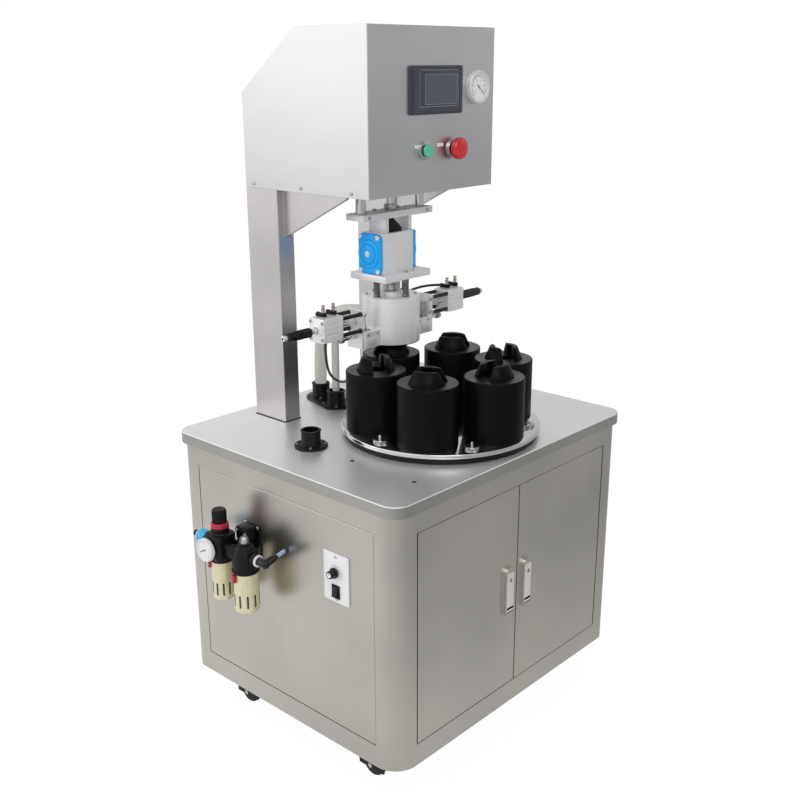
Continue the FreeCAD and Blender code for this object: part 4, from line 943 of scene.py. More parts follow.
    def buttons(self):
        """Green start button, red stop mushroom and the plated rings on their collars."""
        start, stop = centre("start_button"), centre("estop_button")
        wall = span("head_cover")[0].y + HEAD_COLLAR
        rings = Form("button_rings")
        for middle, hole in ((start, 9.0), (stop, 12.4)):
            rings.add(turned([(hole, 3.9), (16.4, 3.9), (16.4, 4.3), (15.6, 4.8), (hole, 4.8)],
                             (middle.x, wall, middle.z), FRONT, 64, True), ZINC)
            rings.add(turned([(16.05, -0.2), (16.4, -0.2), (16.4, 4.1), (16.05, 4.1)],
                             (middle.x, wall, middle.z), FRONT, 64, True), ZINC)
        rings.finish("machine")
        back = span("start_button")[0].y + 6
        lens = Form("start_lens")
        lens.add(turned([(0, -20), (5.9, -20), (5.9, 0), (10.6, 0), (11.4, 0.7), (11.4, 4.4),
                         (10.6, 5.5), (9.0, 5.9), (8.2, 5.5), (0, 5.2)],
                        (start.x, back, start.z), FRONT, 64), "green_polycarbonate")
        lens.finish("start_button", "start_button")
        front = span("estop_button")[0].y + 9
        cap = Form("stop_mushroom")
        cap.add(turned([(0, -13.8), (18.6, -13.8), (20, -12.4), (20, -6.2), (19, -3.6),
                        (16.2, -1.4), (11.5, -0.35), (6, 0), (0, 0)],
                       (stop.x, front, stop.z), FRONT, 80), "red_gloss_plastic")
        cap.add(turned([(0, -32), (6.9, -32), (6.9, -15.8), (11.6, -15.8), (12, -13.8), (0, -13.8)],
                       (stop.x, front, stop.z), FRONT, 48), "olive_moulding")
        cap.finish("estop_button", "estop_button")
        strips = Form("legend_strips")
        for x0, x1 in ((-54, -44.5), (8, 25)):
            strips.add(block((x0, wall - 0.5, start.z + 5), (x1, wall, start.z + 11), 0.15),
                       "white_film")
        strips.finish("machine")


# Press head: thicknesses of its two plates, half distances of the yoke's cheeks and guide rods,
# and the circle of the standoffs.
CROSS_PLATE, BELL_PLATE = 12.5, 13.0
YOKE_OUT, ROD_OUT, STANDOFF_OUT = 32.5, 82.0, 40.0
ROD_RADIUS, PISTON_RADIUS, STANDOFF_RADIUS = 10.0, 9.0, 6.0
THREAD_PITCH = 2.4
CAP_THICKNESS, CAP_SCREW_INSET = 9.0, 6.2


class CAPPING_OT_press(bpy.types.Operator):
    """Cross plate, guide rods, rotary actuator and the plate that carries the bell"""
    bl_idname = "capping.press"
    bl_label = "Press head"

    def execute(self, context):
        self.cross_plate()
        self.rod()
        self.actuator()
        self.caps()
        self.lower_plate()
        return {"FINISHED"}

    def cross_plate(self):
        """Plate with its yoke below, the guide rods above and their locking screws."""
        low, high = span("upper_plate")
        y = (low.y + high.y) / 2
        bottom = span("piston_rod")[0].z
        top = bottom + CROSS_PLATE
        edge = sizes().plate_edge / MM
        form = Form("cross_plate")
        form.add(block((low.x, low.y, bottom), (high.x, high.y, top), edge), "anodised_aluminium")
        for sx in (-1, 1):
            x, rod_x = sx * YOKE_OUT, sx * ROD_OUT
            form.add(block((x - 4.5, low.y + 1, low.z), (x + 4.5, high.y - 1, bottom), 0.5),
                     "anodised_aluminium")
            form.add(turned([(0, 0), (ROD_RADIUS, 0), (ROD_RADIUS, high.z - top - 1),
                             (ROD_RADIUS - 1, high.z - top), (0, high.z - top)],
                            (rod_x, y, top), UP, 64), "chromed_steel")
            form.add(turned([(10.1, 0), (12.5, 0), (12.5, 0.9), (10.1, 1.4)],
                            (rod_x, y, top), UP, 48, True), ZINC)
            form.add(socket_screw(3.6, 1.2, (rod_x, low.y, (bottom + top) / 2), FRONT), ZINC)
            for dy in (-12, 12):
                form.add(socket_screw(4.2, 3.6, (x, y + dy, top), UP), ZINC)
        form.finish("press_head", "upper_plate")
        # Black wedge in the window between the yoke's cheeks, below the cross plate.
        wedge = Form("yoke_black_wedge")
        wedge.add(pushed([(-27.6, 13.4, low.z), (8, 13.4, low.z), (8, 13.4, low.z + 7),
                          (-11, 13.4, bottom - 4), (-16, 13.4, bottom), (-27.6, 13.4, bottom)],
                         (0, 5, 0), 0.5), NYLON)
        wedge.finish("press_head")

    def rod(self):
        """Chromed piston rod with its lock nut."""
        low, high = span("piston_rod")
        y = (low.y + high.y) / 2
        top, length = low.z + CROSS_PLATE, high.z - low.z
        form = Form("press_rod")
        form.add(turned([(0, 0), (PISTON_RADIUS, 0), (PISTON_RADIUS, length - 12),
                         (24, length - 12), (24, length), (0, length)], (0, y, low.z), UP, 64),
                 "chromed_steel")
        form.add(prism(24, 10.6, (0, y, top), UP, 6, 0.8), ZINC)
        form.add(turned([(9.2, 10), (11.6, 10), (11.0, 12.2), (9.2, 12.2)], (0, y, top), UP, 40,
                        True), ZINC)
        form.finish("press_head", "piston_rod")

    def actuator(self):
        """Ground body with its cover joints and two ports at the back."""
        low, high = span("rotary_actuator")
        form = Form("actuator_body")
        form.add(block(low, high, 1.2), "anodised_aluminium")
        for x in (low.x + 3, high.x - 3.6):
            form.add(block((x, low.y - 0.15, low.z + 1), (x + 0.6, high.y + 0.15, high.z - 1), 0.1),
                     "cast_aluminium")
        for x in (low.x + 16, high.x - 16):
            form.add(turned([(2.6, 0), (4.4, 0), (4.4, 0.5), (2.6, 0.5)], (x, high.y, low.z + 14),
                            BACK, 32, True), ZINC)
        form.finish("press_head", "rotary_actuator")

    def caps(self):
        """Blue end caps: bulged, with a ring groove, four corner screws and a centre bolt."""
        for side, along in (("left", LEFT), ("right", RIGHT)):
            low, high = span("end_cap_" + side)
            y, z = (low.y + high.y) / 2, (low.z + high.z) / 2
            half = (high.y - low.y) / 2
            inner = high.x if side == "left" else low.x
            face = inner + along.x * CAP_THICKNESS
            form = Form("end_cap_" + side)
            form.add(slab((min(inner, face), low.y, low.z), (max(inner, face), high.y, high.z),
                          12, RIGHT, 3.0), "blue_enamel")
            form.add(turned([(0, -1), (half - 1, -1), (half - 1.6, 1.4), (half - 4, 2.6),
                             (half - 8.6, 3.0), (half - 9.4, 1.6), (half - 10.6, 1.6),
                             (half - 11.4, 3.4), (half - 16, 4.4), (8.5, 5.0), (0, 5.0)],
                            (face, y, z), along, 80), "blue_enamel")
            form.add(turned([(0, 3), (5.6, 3), (5.6, 5.0), (4.5, 5.3), (4.5, 6.8), (3.9, 7.0),
                             (2.2, 7.0), (2.2, 5.6), (0, 5.6)], (face, y, z), along, 40),
                     "satin_chromed_zinc")
            for dy, dz in ((-1, -1), (-1, 1), (1, -1), (1, 1)):
                spot = (face - along.x * 0.6, y + dy * (half - CAP_SCREW_INSET),
                        z + dz * ((high.z - low.z) / 2 - CAP_SCREW_INSET))
                form.add(turned([(0, 0), (4.6, 0), (4.6, 1.8), (4.0, 2.4), (2.2, 2.4), (2.2, 1.2),
                                 (0, 1.2)], spot, along, 28), "satin_chromed_zinc")
            form.finish("press_head", "end_cap_" + side)

    def lower_plate(self):
        """Plate on four threaded standoffs with nuts below and screws above."""
        low, high = span("lower_plate")
        y = (low.y + high.y) / 2
        bottom = high.z - BELL_PLATE
        form = Form("bell_plate")
        form.add(block((low.x, low.y, bottom), (high.x, high.y, high.z), sizes().plate_edge / MM),
                 "anodised_aluminium")
        length = bottom - low.z
        for dx, dy in ((-1, 0), (1, 0), (0, -1), (0, 1)):
            x, away = dx * STANDOFF_OUT, y + dy * STANDOFF_OUT
            spot = (x, away, low.z)
            profile = [(0, 0), (STANDOFF_RADIUS, 0)]
            height = 3.0
            while height < length - 8:
                profile += [(STANDOFF_RADIUS, height), (STANDOFF_RADIUS - 0.5, height + 0.6),
                            (STANDOFF_RADIUS, height + 1.2)]
                height += THREAD_PITCH
            profile += [(STANDOFF_RADIUS, length), (0, length)]
            form.add(turned(profile, spot, UP, 40), "threaded_steel")
            form.add(prism(13, 5.5, spot, UP, 6, 0.5), "threaded_steel")
            form.add(socket_screw(4.5, 3.5, (x, away, high.z), UP), ZINC)
        form.finish("press_head", "lower_plate")


# Vacuum bell: circle of the lid's screws, outer faces of the side plates, the clamps' height and
# spacing, and where the hoses come in.
LID_SCREWS, LID_CIRCLE = 6, 48.0
SIDE_PLATE_OUT, SIDE_SCREW_OUT, SIDE_SCREW_DEEP = 103.0, 95.5, 20.0
CLAMP_AXIS, CLAMP_SPACING = 818.3, 16.0
PORTS, PORT_BACK, PORT_UP = ((-2, 13), (-38, 8)), 91.0, 44.0


class CAPPING_OT_bell(bpy.types.Operator):
    """Vacuum bell with its lid, chuck, seal, hose clips and side plate screws"""
    bl_idname = "capping.bell"
    bl_label = "Vacuum bell"

    def execute(self, context):
        low = span("chamber")[0]
        lid_low, lid_high = span("chamber_lid")
        y = (lid_low.y + lid_high.y) / 2
        radius = (lid_high.y - lid_low.y) / 2
        dressed("chamber", "turned_aluminium", 0.6)
        lid = Form("bell_lid")
        lid.add(turned([(10.4, 0), (radius, 0), (radius, 3.2), (radius - 0.7, 3.6),
                        (radius - 0.7, 4.4), (radius, 4.8), (radius, 11), (radius - 1, 12),
                        (25, 12), (24, 12.6), (24, 19), (23, 20), (10.4, 20)],
                       (0, y, lid_low.z), UP, 96, True), "turned_aluminium")
        for step in range(LID_SCREWS):
            angle = math.radians(15) + math.tau * step / LID_SCREWS
            spot = (LID_CIRCLE * math.cos(angle), y + LID_CIRCLE * math.sin(angle), lid_low.z + 12)
            lid.add(socket_screw(3.4, 2.6, spot, UP), ZINC)
        lid.finish("press_head", "chamber_lid")
        dressed("cap_chuck", ZINC, 0.4)
        seal = Form("bell_seal")
        seal.add(turned([(radius - 5, 0), (radius - 0.4, 0), (radius - 0.4, -1.2),
                         (radius - 1.4, -1.9), (radius - 4, -1.9), (radius - 5, -1.2)],
                        (0, y, low.z), UP, 96, True), "black_rubber")
        seal.finish("press_head")
        trim = Form("bell_fittings")
        for sx, along in ((-1, LEFT), (1, RIGHT)):
            for dz in (-CLAMP_SPACING, CLAMP_SPACING):
                for dy in (-CLAMP_SPACING, CLAMP_SPACING):
                    trim.add(turned([(4.6, 0), (6.4, 0), (6.4, 1.2), (4.6, 1.2)],
                                    (sx * SIDE_PLATE_OUT, y + dy, CLAMP_AXIS + dz), along, 28,
                                    True), ZINC)
            for z in (low.z + 41, low.z + 67):
                for facing in (FRONT, BACK):
                    spot = (sx * SIDE_SCREW_OUT, y + facing.y * SIDE_SCREW_DEEP, z)
                    trim.add(socket_screw(3.6, 2.4, spot, facing), ZINC)
            for x in (62, 88):
                trim.add(socket_screw(2.6, 1.6, (sx * x, y - 22, low.z + 27), FRONT), ZINC)
            a, b = sorted((sx * 68, sx * 90))
            trim.add(block((a, y - 22.8, low.z + 4), (b, y - 22, low.z + 20), 0.3),
                     "cast_aluminium")
        for x, hose in PORTS:
            trim.add(turned([(hose + 0.4, 0), (hose + 2.2, 0), (hose + 2.2, 8), (hose + 0.4, 8)],
                            (x, PORT_BACK, low.z + PORT_UP), BACK, 40, True), ZINC)
        trim.finish("press_head")
        return {"FINISHED"}


# Neck clamps: height and end plates of a cylinder's body, length of its spacers, and half
# distances of the pieces of a jaw from the machine's middle line.
BODY_HEIGHT, END_PLATE, SPACER = 46.0, 7.0, 50.0
JAW_TIP, JAW_BACK, DRIVE_OUT, GUIDE_RING_OUT = 42.0, 83.0, 93.0, 137.0
KNOB_OUT, NUT_OUT, SOCKET_SHADE_OUT = 221.0, 278.0, 287.4


def grooved(y0, y1, z0, z1, notch=3.0, depth=1.6):
    """Outline of an extruded body with three slots in each face, as (y, z) pairs."""
    outline = []
    corners = [(y0, z0), (y1, z0), (y1, z1), (y0, z1)]
    for a, b in zip(corners, corners[1:] + corners[:1]):
        a, b = Vector(a), Vector(b)
        run = (b - a).normalized()
        inward = Vector((-run.y, run.x)) * depth
        outline.append(a)
        for share in (0.3, 0.5, 0.7):
            middle = a.lerp(b, share)
            outline += [middle - run * notch / 2, middle - run * notch / 2 + inward,
                        middle + run * notch / 2 + inward, middle + run * notch / 2]
    return [tuple(point) for point in outline]


class CAPPING_OT_clamps(bpy.types.Operator):
    """Neck clamps: extruded cylinders on black spacers, fittings, jaws and stroke knobs"""
    bl_idname = "capping.clamps"
    bl_label = "Neck clamps"

    def execute(self, context):
        for side, sx in (("left", -1), ("right", 1)):
            self.cylinder(side, sx)
            self.jaw(side, sx)
        return {"FINISHED"}

    def cylinder(self, side, sx):
        """Body with slots along it, end plates, spacers and two flow valves."""
        low, high = span("clamp_cylinder_" + side)
        y = (low.y + high.y) / 2
        top = low.z + BODY_HEIGHT
        middle = (low.z + top) / 2
        along = Vector((sx, 0, 0))
        inner = low.x if sx > 0 else high.x
        outer = high.x if sx > 0 else low.x
        start = inner + sx * SPACER
        form = Form("clamp_cylinder_" + side)
        plate = sx * END_PLATE
        body = [(start + plate, py, pz) for py, pz in grooved(low.y, high.y, low.z, top)]
        form.add(pushed(body, (outer - start - 2 * plate, 0, 0), 0.35, 1), "anodised_aluminium")
        for x in (start, outer - plate):
            a, b = sorted((x, x + plate))
            form.add(slab((a, low.y, low.z), (b, high.y, top), 3, RIGHT, 0.6), "anodised_aluminium")
        for dy in (-CLAMP_SPACING, CLAMP_SPACING):
            for dz in (-CLAMP_SPACING, CLAMP_SPACING):
                form.add(turned([(0, 0), (4, 0), (4, SPACER), (0, SPACER)],
                                (inner, y + dy, middle + dz), along, 28), PHENOLIC)
                form.add(socket_screw(3.2, 2.0, (outer, y + dy, middle + dz), along), ZINC)
        form.add(turned([(7, 0), (12, 0), (12, 2.4), (11, 3), (7, 3)], (outer, y, middle), along,
                        40, True), "anodised_aluminium")
        for x in (start + sx * 12, outer - sx * 12):
            self.valve(form, x, y - 6, top)
        form.finish("press_head", "clamp_cylinder_" + side)

    @staticmethod
    def valve(form, x, y, z):
        """Flow valve: nickel thread, black elbow and a tall two-step knob."""
        form.add(prism(10, 3, (x, y, z), UP, 6, 0.4), "nickel_plated_brass")
        form.add(turned([(0, 2.6), (6.2, 2.6), (6.5, 3.2), (6.5, 8.6), (5.6, 9.6), (0, 9.6)],
                        (x, y, z), UP, 32), NYLON)
        form.add(bar(4.4, 14.5, (x, y, z + 5.6), BACK, 0.7, 28), NYLON)
        form.add(turned([(2.7, 0), (4.9, 0), (4.9, 2.6), (2.7, 2.6)], (x, y + 13.4, z + 5.6), BACK,
                        28, True), PHENOLIC)
        form.add(turned([(0, 9), (3.0, 9), (3.0, 13.4), (4, 13.8), (4, 17.6), (2.5, 18.4),
                         (2.5, 20.8), (3.6, 21.2), (3.6, 23.6), (3, 24), (0, 24)],
                        (x, y, z), UP, 28), "nickel_plated_brass")

    def jaw(self, side, sx):
        """Jaw bar, drive and guide rods, and the ridged stroke knob."""
        low, high = span("clamp_jaw_" + side)
        y = (low.y + high.y) / 2
        middle = high.z - 9
        along = Vector((sx, 0, 0))
        a, b = sorted((sx * JAW_TIP, sx * DRIVE_OUT))
        form = Form("clamp_jaw_" + side)
        form.add(block((a, low.y, low.z), (b, high.y, low.z + 12), 0.8), "chromed_steel")
        a, b = sorted((sx * JAW_BACK, sx * DRIVE_OUT))
        form.add(block((a, low.y, low.z), (b, high.y, middle + 8), 0.6), ZINC)
        form.add(bar(6, 185, (sx * DRIVE_OUT, y, middle), along, 0.4, 40), "chromed_steel")
        form.add(bar(5, 50, (sx * DRIVE_OUT, y, low.z + 18), along, 0.4, 32), "chromed_steel")
        form.add(turned([(5.2, 0), (8, 0.4), (8, 7.6), (5.2, 8)],
                        (sx * GUIDE_RING_OUT, y, low.z + 18), along, 32, True), ZINC)
        knob = (sx * KNOB_OUT, y, middle)
        form.add(ridged(9, 0.7, 40, knob, along, sizes().knob_ridges, 0.25), PHENOLIC)
        form.add(turned([(0, 38), (8.2, 38), (8.6, 42), (8.6, 55), (7.4, 57), (0, 57)],
                        knob, along, 48), PHENOLIC)
        form.add(prism(9.6, 9.6, (sx * NUT_OUT, y, middle), along, 6, 0.5), "satin_chromed_zinc")
        # Black disc on the nut's end: painted shade of its socket, which is not cut.
        form.add(bar(2.4, 0.5, (sx * SOCKET_SHADE_OUT, y, middle), along, 0.1, 20), "black_ink_and_painted_shade")
        form.finish("jaw_" + side, "clamp_jaw_" + side)


# Turntable: the stations, the stop posts and the holders' cups and slotted collars.
STATIONS = 6
BASE_LIP, SHAFT_RADIUS = 4.0, 20.0
POST_CIRCLE, POST_RADIUS = 172.0, 13.0
CUP_RADIUS, CUP_HEIGHT, CUP_DEPTH, JAR_RADIUS = 57.5, 117.0, 95.0, 17.0
COLLAR_FOOT, COLLAR_TOP, COLLAR_HEIGHT, SLOT_HALF = 37.0, 27.4, 24.0, 14.0


class CAPPING_OT_turntable(bpy.types.Operator):
    """Polished turntable with stop posts and six black jar holders"""
    bl_idname = "capping.turntable"
    bl_label = "Turntable and holders"

    def execute(self, context):
        low, high = span("turntable")
        x, y = (low.x + high.x) / 2, (low.y + high.y) / 2
        radius = (high.x - low.x) / 2
        top = span("holder_1")[0].z
        base_low, base_high = span("turntable_base")
        base = Form("table_base")
        outer = (base_high.x - base_low.x) / 2 + BASE_LIP
        base.add(turned([(21, 0), (outer, 0), (outer, 10.6), (outer - 1.2, 12), (21, 12)],
                        (x, y, base_low.z), UP, 128, True), NYLON)
        base.finish("machine", "turntable_base")
        disc = Form("table_disc")
        disc.add(turned([(0, low.z - top), (SHAFT_RADIUS, low.z - top), (SHAFT_RADIUS, -8),
                         (radius - 5, -8), (radius - 5, -8.4), (radius - 4.6, -8.8),
                         (radius - 1, -8.8), (radius, -7.8), (radius, -1.4),
                         (radius - 0.5, -0.5), (radius - 1.4, 0), (0, 0)],
                        (x, y, top), UP, 160), "polished_stainless")
        for step in range(STATIONS):
            angle = math.radians(120) + math.tau * step / STATIONS
            spot = (x + POST_CIRCLE * math.cos(angle), y + POST_CIRCLE * math.sin(angle), top)
            disc.add(ridged(POST_RADIUS, 0.6, 6, spot, UP, 34, 0.2), ZINC)
            disc.add(turned([(0, 5.8), (11.6, 5.8), (11.2, 6.6), (2.8, 6.6), (2.8, 14), (2.1, 15),
                             (0, 15)], spot, UP, 28), ZINC)
        disc.finish("turntable", "turntable")
        for index in range(1, STATIONS + 1):
            self.holder(index, (x, y))
        return {"FINISHED"}

    def holder(self, index, table):
        """Thick cup with a coned collar, slotted along the path of the jaws."""
        node = f"holder_{index}"
        low, high = span(node)
        x, y = (low.x + high.x) / 2, (low.y + high.y) / 2
        angle = math.atan2(y - table[1], x - table[0])
        r, wall, bore = CUP_RADIUS, CUP_HEIGHT, JAR_RADIUS
        floor = wall - CUP_DEPTH
        form = Form("jar_holder_" + str(index))
        form.add(turned([(0, 0), (r, 0), (r, wall - 2.2), (r - 0.4, wall - 1),
                         (r - 1.2, wall - 0.2), (r - 2, wall)], (x, y, low.z), UP, 96),
                 "turned_black_acetal")
        form.add(turned([(r - 2, wall), (bore, wall)], (x, y, low.z), UP, 96), "faced_black_acetal")
        form.add(turned([(bore, wall), (bore, floor), (0, floor)], (x, y, low.z), UP, 96),
                 "turned_black_acetal")
        for sign in (-1, 1):
            half = turned([(COLLAR_FOOT, -0.5), (COLLAR_FOOT, 0.6),
                           (COLLAR_TOP, COLLAR_HEIGHT - 0.6), (COLLAR_TOP - 0.8, COLLAR_HEIGHT),
                           (bore + 0.6, COLLAR_HEIGHT), (bore, COLLAR_HEIGHT - 0.6),
                           (bore, -0.5)], (0, 0, 0), UP, 96, True)
            cut = bmesh.ops.bisect_plane(half, geom=half.verts[:] + half.edges[:] + half.faces[:],
                                         plane_co=(sign * SLOT_HALF, 0, 0),
                                         plane_no=(sign, 0, 0), clear_inner=True)
            rim = [e for e in cut["geom_cut"] if isinstance(e, bmesh.types.BMEdge)]
            bmesh.ops.holes_fill(half, edges=rim, sides=0)
            bmesh.ops.recalc_face_normals(half, faces=half.faces)
            soften(half, 0.7, 2, 60)
            bmesh.ops.rotate(half, matrix=Matrix.Rotation(angle, 3, "Z"), verts=half.verts)
            bmesh.ops.translate(half, vec=(x, y, low.z + wall), verts=half.verts)
            form.add(half, "turned_black_acetal")
        form.finish("turntable", node)


# Hose spigots: flange, circle of its screws, socket, and where the rear pair stands.
FLANGE_RADIUS, FLANGE_SCREW_CIRCLE, SOCKET_RADIUS = 32.0, 26.5, 15.5
REAR_SPIGOTS = ((-7, 239), (-26, 172))


class CAPPING_OT_spigots(bpy.types.Operator):
    """Black hose spigots with flange screws"""
    bl_idname = "capping.spigots"
    bl_label = "Hose spigots"

    def execute(self, context):
        self.spigot("spigot_front", [centre("spigot_front").xy])
        self.spigot("spigot_rear", [Vector(spot) for spot in REAR_SPIGOTS])
        return {"FINISHED"}

    def spigot(self, node, places):
        """Flanges with open sockets, each with a raised ring near its mouth."""
        low = span(node)[0]
        form = Form(node + "_fitting")
        for spot in places:
            form.add(turned([(SOCKET_RADIUS, 0), (FLANGE_RADIUS, 0), (FLANGE_RADIUS, 3.8),
                             (FLANGE_RADIUS - 1, 5), (22.5, 5), (19.6, 6.4), (18.5, 9),
                             (18.5, 31), (19.6, 31.6), (19.6, 33.2), (18.8, 34),
                             (SOCKET_RADIUS, 34)], (spot.x, spot.y, low.z), UP, 72, True), NYLON)
            for step in range(4):
                angle = math.radians(45 + 90 * step)
                out = Vector((math.cos(angle), math.sin(angle))) * FLANGE_SCREW_CIRCLE
                form.add(socket_screw(2.6, 2.0, (*(spot + out), low.z + 5), UP), ZINC)
        if len(places) > 1:
            a, b = places
            run = (a - b).normalized()
            side = Vector((-run.y, run.x)) * FLANGE_RADIUS
            outline = [(*(b - side), low.z), (*(a - side), low.z), (*(a + side), low.z),
                       (*(b + side), low.z)]
            form.add(pushed(outline, (0, 0, 4.8), 0.6), NYLON)
        form.finish("machine", node)


# Air service: height of the line through both units, radii of their bowls, half width of a body,
# how far a bowl hangs below the line, how far the outlet's stub stands out, and the gauge's ticks.
LINE_HEIGHT = 424.0
REGULATOR_BOWL, LUBRICATOR_BOWL = 20.0, 24.0
UNIT_HALF, BOWL_DROP, OUTLET_STUB = 23.0, 27.0, 30.0
LINE_TICKS = 21


class CAPPING_OT_air_service(bpy.types.Operator):
    """Filter regulator and lubricator with guards, gauge, knob, hand valve and air tube"""
    bl_idname = "capping.air_service"
    bl_label = "Air service unit"

    def execute(self, context):
        self.regulator()
        self.lubricator()
        self.knob()
        self.valve()
        return {"FINISHED"}

    def bowl(self, form, x, y, top, radius, button):
        """Slotted guard round a dark bowl, with a collar, a lock button and a drain."""
        r = radius
        form.add(turned([(0, 1), (r + 1.4, 1), (r + 1.8, 0), (r + 1.8, -4), (r + 1, -5), (0, -5)],
                        (x, y, top), UP, 72), NYLON)
        form.add(turned([(r - 0.9, -4), (r, -4), (r, -79), (r - 1, -83), (r - 4, -85.6),
                         (r - 8, -86), (6, -86), (6, -85), (r - 8, -85), (r - 4.4, -84.6),
                         (r - 1.9, -82.4), (r - 0.9, -78.6)], (x, y, top), UP, 72, True),
                 "yellow_zinc_guard")
        form.add(turned([(0, -4), (r - 1.3, -4), (r - 1.3, -78), (r - 5, -83), (0, -84)],
                        (x, y, top), UP, 48), "green_bowl")
        count = sizes().guard_slots
        for step in range(count):
            angle = math.tau * (step + 0.5) / count
            out = Vector((math.cos(angle), math.sin(angle), 0))
            foot = Vector((x, y, top)) + out * (r - 0.6)
            slot = slab((-2.0, -13, 0), (2.0, 13, 0.9), 1.9, UP, 0.15, 4)
            tilt = (Matrix.Translation(foot + Vector((0, 0, -60)))
                    @ Matrix.Rotation(angle - math.pi / 2, 4, "Z")
                    @ Matrix.Rotation(math.radians(-90), 4, "X"))
            bmesh.ops.transform(slot, matrix=tilt, verts=slot.verts)
            form.add(slot, "green_bowl")
        form.add(turned([(0, -85), (5, -85), (5, -88), (4, -89), (0, -89)], (x, y, top), UP, 28),
                 NYLON)
        along = Vector((*button, 0)).normalized()
        foot = Vector((x, y, top - 13)) + along * (r - 0.7)
        tab = slab((-4.5, -8, 0), (4.5, 8, 6.5), 1.6, UP, 0.6, 3)
        angle = math.atan2(along.y, along.x)
        bmesh.ops.transform(tab, verts=tab.verts, matrix=(
            Matrix.Translation(foot) @ Matrix.Rotation(angle - math.pi / 2, 4, "Z")
            @ Matrix.Rotation(math.radians(-90), 4, "X")))
        form.add(tab, "crimson_acetal")

    def regulator(self):
        """Moulded body with its gauge, link, wall bracket and inlet nipple."""
        knob = centre("regulator_knob")
        x, y, z, wall = knob.x, knob.y, LINE_HEIGHT, span("regulator")[1].x
        form = Form("regulator_unit")
        form.add(slab((x - UNIT_HALF, y - UNIT_HALF, z - BOWL_DROP),
                      (x + UNIT_HALF, y + UNIT_HALF, z + 24), 11, UP, 1.4), NYLON)
        form.add(turned([(0, 24), (18, 24), (16, 27), (14, 27.1), (14, 38), (0, 38)], (x, y, z),
                        UP, 48), NYLON)
        self.bowl(form, x, y, z - BOWL_DROP, REGULATOR_BOWL, (-0.68, 0.73))
        form.add(block((x - 12, y - 50, z - 12), (x + 12, y - 22, z + 12), 1.6), NYLON)
        form.add(block((x, y - 47, z - 12), (wall - 4, y - 25, z + 12), 1.2), NYLON)
        form.add(slab((wall - 4, y - 60, z - 39), (wall, y - 12, z + 39), 5, RIGHT, 0.8), PHENOLIC)
        form.add(block((x + 20, y - 52, z + 12), (wall - 4, y - 22, z + 38), 1.6), NYLON)
        for dy, dz in ((-54, 33), (-20, 36), (-54, -33), (-18, -33)):
            form.add(pan_screw(4.2, 2.2, (wall - 4, y + dy, z + dz), LEFT), ZINC)
        for dy, dz in ((-26, 31), (-49, 27)):
            form.add(socket_screw(3.6, 2.6, (x + 20, y + dy, z + dz), LEFT), ZINC)
        form.add(bar(13, 12, (x, y + UNIT_HALF, z), BACK, 0.8, 48), NYLON)
        form.add(turned([(5.0, 0), (8, 0), (8, 35), (6.6, 36), (6.6, 42), (5.0, 42)],
                        (x, y + 35, z), BACK, 48, True), PHENOLIC)
        form.finish("machine", "regulator")
        gauge = Form("line_gauge")
        gy, gz = y + 6.5, z - 3.5
        face = x - UNIT_HALF
        gauge.add(turned([(0, 0), (7, 0), (8, 2), (21, 2.4), (22.4, 4), (23, 6), (23, 11.6),
                          (21.8, 13.6), (20.8, 14), (20.2, 13.2), (20.0, 11.4), (0, 11.4)],
                         (face, gy, gz), LEFT, 72), "white_enamel")
        gauge.add(turned([(0, 11.2), (20.1, 11.2), (20.1, 12.0), (0, 12.0)], (face, gy, gz), LEFT,
                         72), "white_enamel")
        for step in range(LINE_TICKS):
            angle = math.radians(SCALE_START - SCALE_SWEEP * step / (LINE_TICKS - 1))
            inner = 14.8 if step % 5 == 0 else 16.4
            gauge.add(dial_tick(inner, 18.4, 0.28, 0.2, angle, to_left(face - 12, gy, gz)),
                      "grey_ink")
        needle = pushed([(-0.9, -5, 0), (0.9, -5, 0), (0.3, 15, 0), (-0.3, 15, 0)], (0, 0, 0.4), 0)
        bmesh.ops.rotate(needle, matrix=Matrix.Rotation(math.radians(118), 3, "Z"),
                         verts=needle.verts)
        bmesh.ops.transform(needle, verts=needle.verts, matrix=to_left(face - 12.4, gy, gz))
        gauge.add(needle, "black_ink_and_painted_shade")
        gauge.add(bar(2.2, 1.3, (face - 12, gy, gz), LEFT, 0.3, 24), ZINC)
        gauge.finish("machine")

    def lubricator(self):
        """Moulded body with its sight dome, outlet port, elbow and air tube."""
        high = span("lubricator")[1]
        x, y, z, wall = centre("regulator_knob").x, high.y - UNIT_HALF, LINE_HEIGHT, high.x
        form = Form("lubricator_unit")
        form.add(turned([(0, -27), (24, -27), (24.5, -10), (22.5, 2), (19.5, 12), (17, 19),
                         (15.5, 21), (12, 22), (11.5, 25), (0, 25)], (x, y, z), UP, 72), NYLON)
        form.add(slab((x - 14, y - UNIT_HALF, z - 14), (x + 14, y + UNIT_HALF, z + 14), 5, BACK,
                      1.0), NYLON)
        form.add(turned([(0, 3), (23, 3), (26, -1), (26, -4), (0, -4)], (x, y, z - BOWL_DROP), UP,
                        72), NYLON)
        self.bowl(form, x, y, z - BOWL_DROP, LUBRICATOR_BOWL, (-1, 0.1))
        end = y - UNIT_HALF - 14
        form.add(bar(12, 14, (x, end, z), BACK, 1.0, 48), NYLON)
        form.add(turned([(7.8, 0), (11.4, 0), (11.4, 2.2), (10.8, 3), (7.8, 3)],
                        (x, end, z), FRONT, 48, True), "white_enamel")
        form.add(bar(7.6, OUTLET_STUB - 4, (x, end - OUTLET_STUB + 4, z), BACK, 0.8, 36), PHENOLIC)
        elbow = Vector((x, end - OUTLET_STUB + 9, z))
        tip = Vector((wall, elbow.y, z + 11))
        run = (tip - elbow).normalized()
        ball = bmesh.new()
        bmesh.ops.create_icosphere(ball, subdivisions=3, radius=8.6)
        bmesh.ops.translate(ball, vec=elbow, verts=ball.verts)
        form.add(ball, PHENOLIC)
        form.add(turned([(0, 0), (7.3, 0), (7.3, 20), (7, 22), (5.6, 24), (5.6, 27), (5, 28),
                         (0, 28)], elbow, run, 36), PHENOLIC)
        reach = (tip - elbow).length
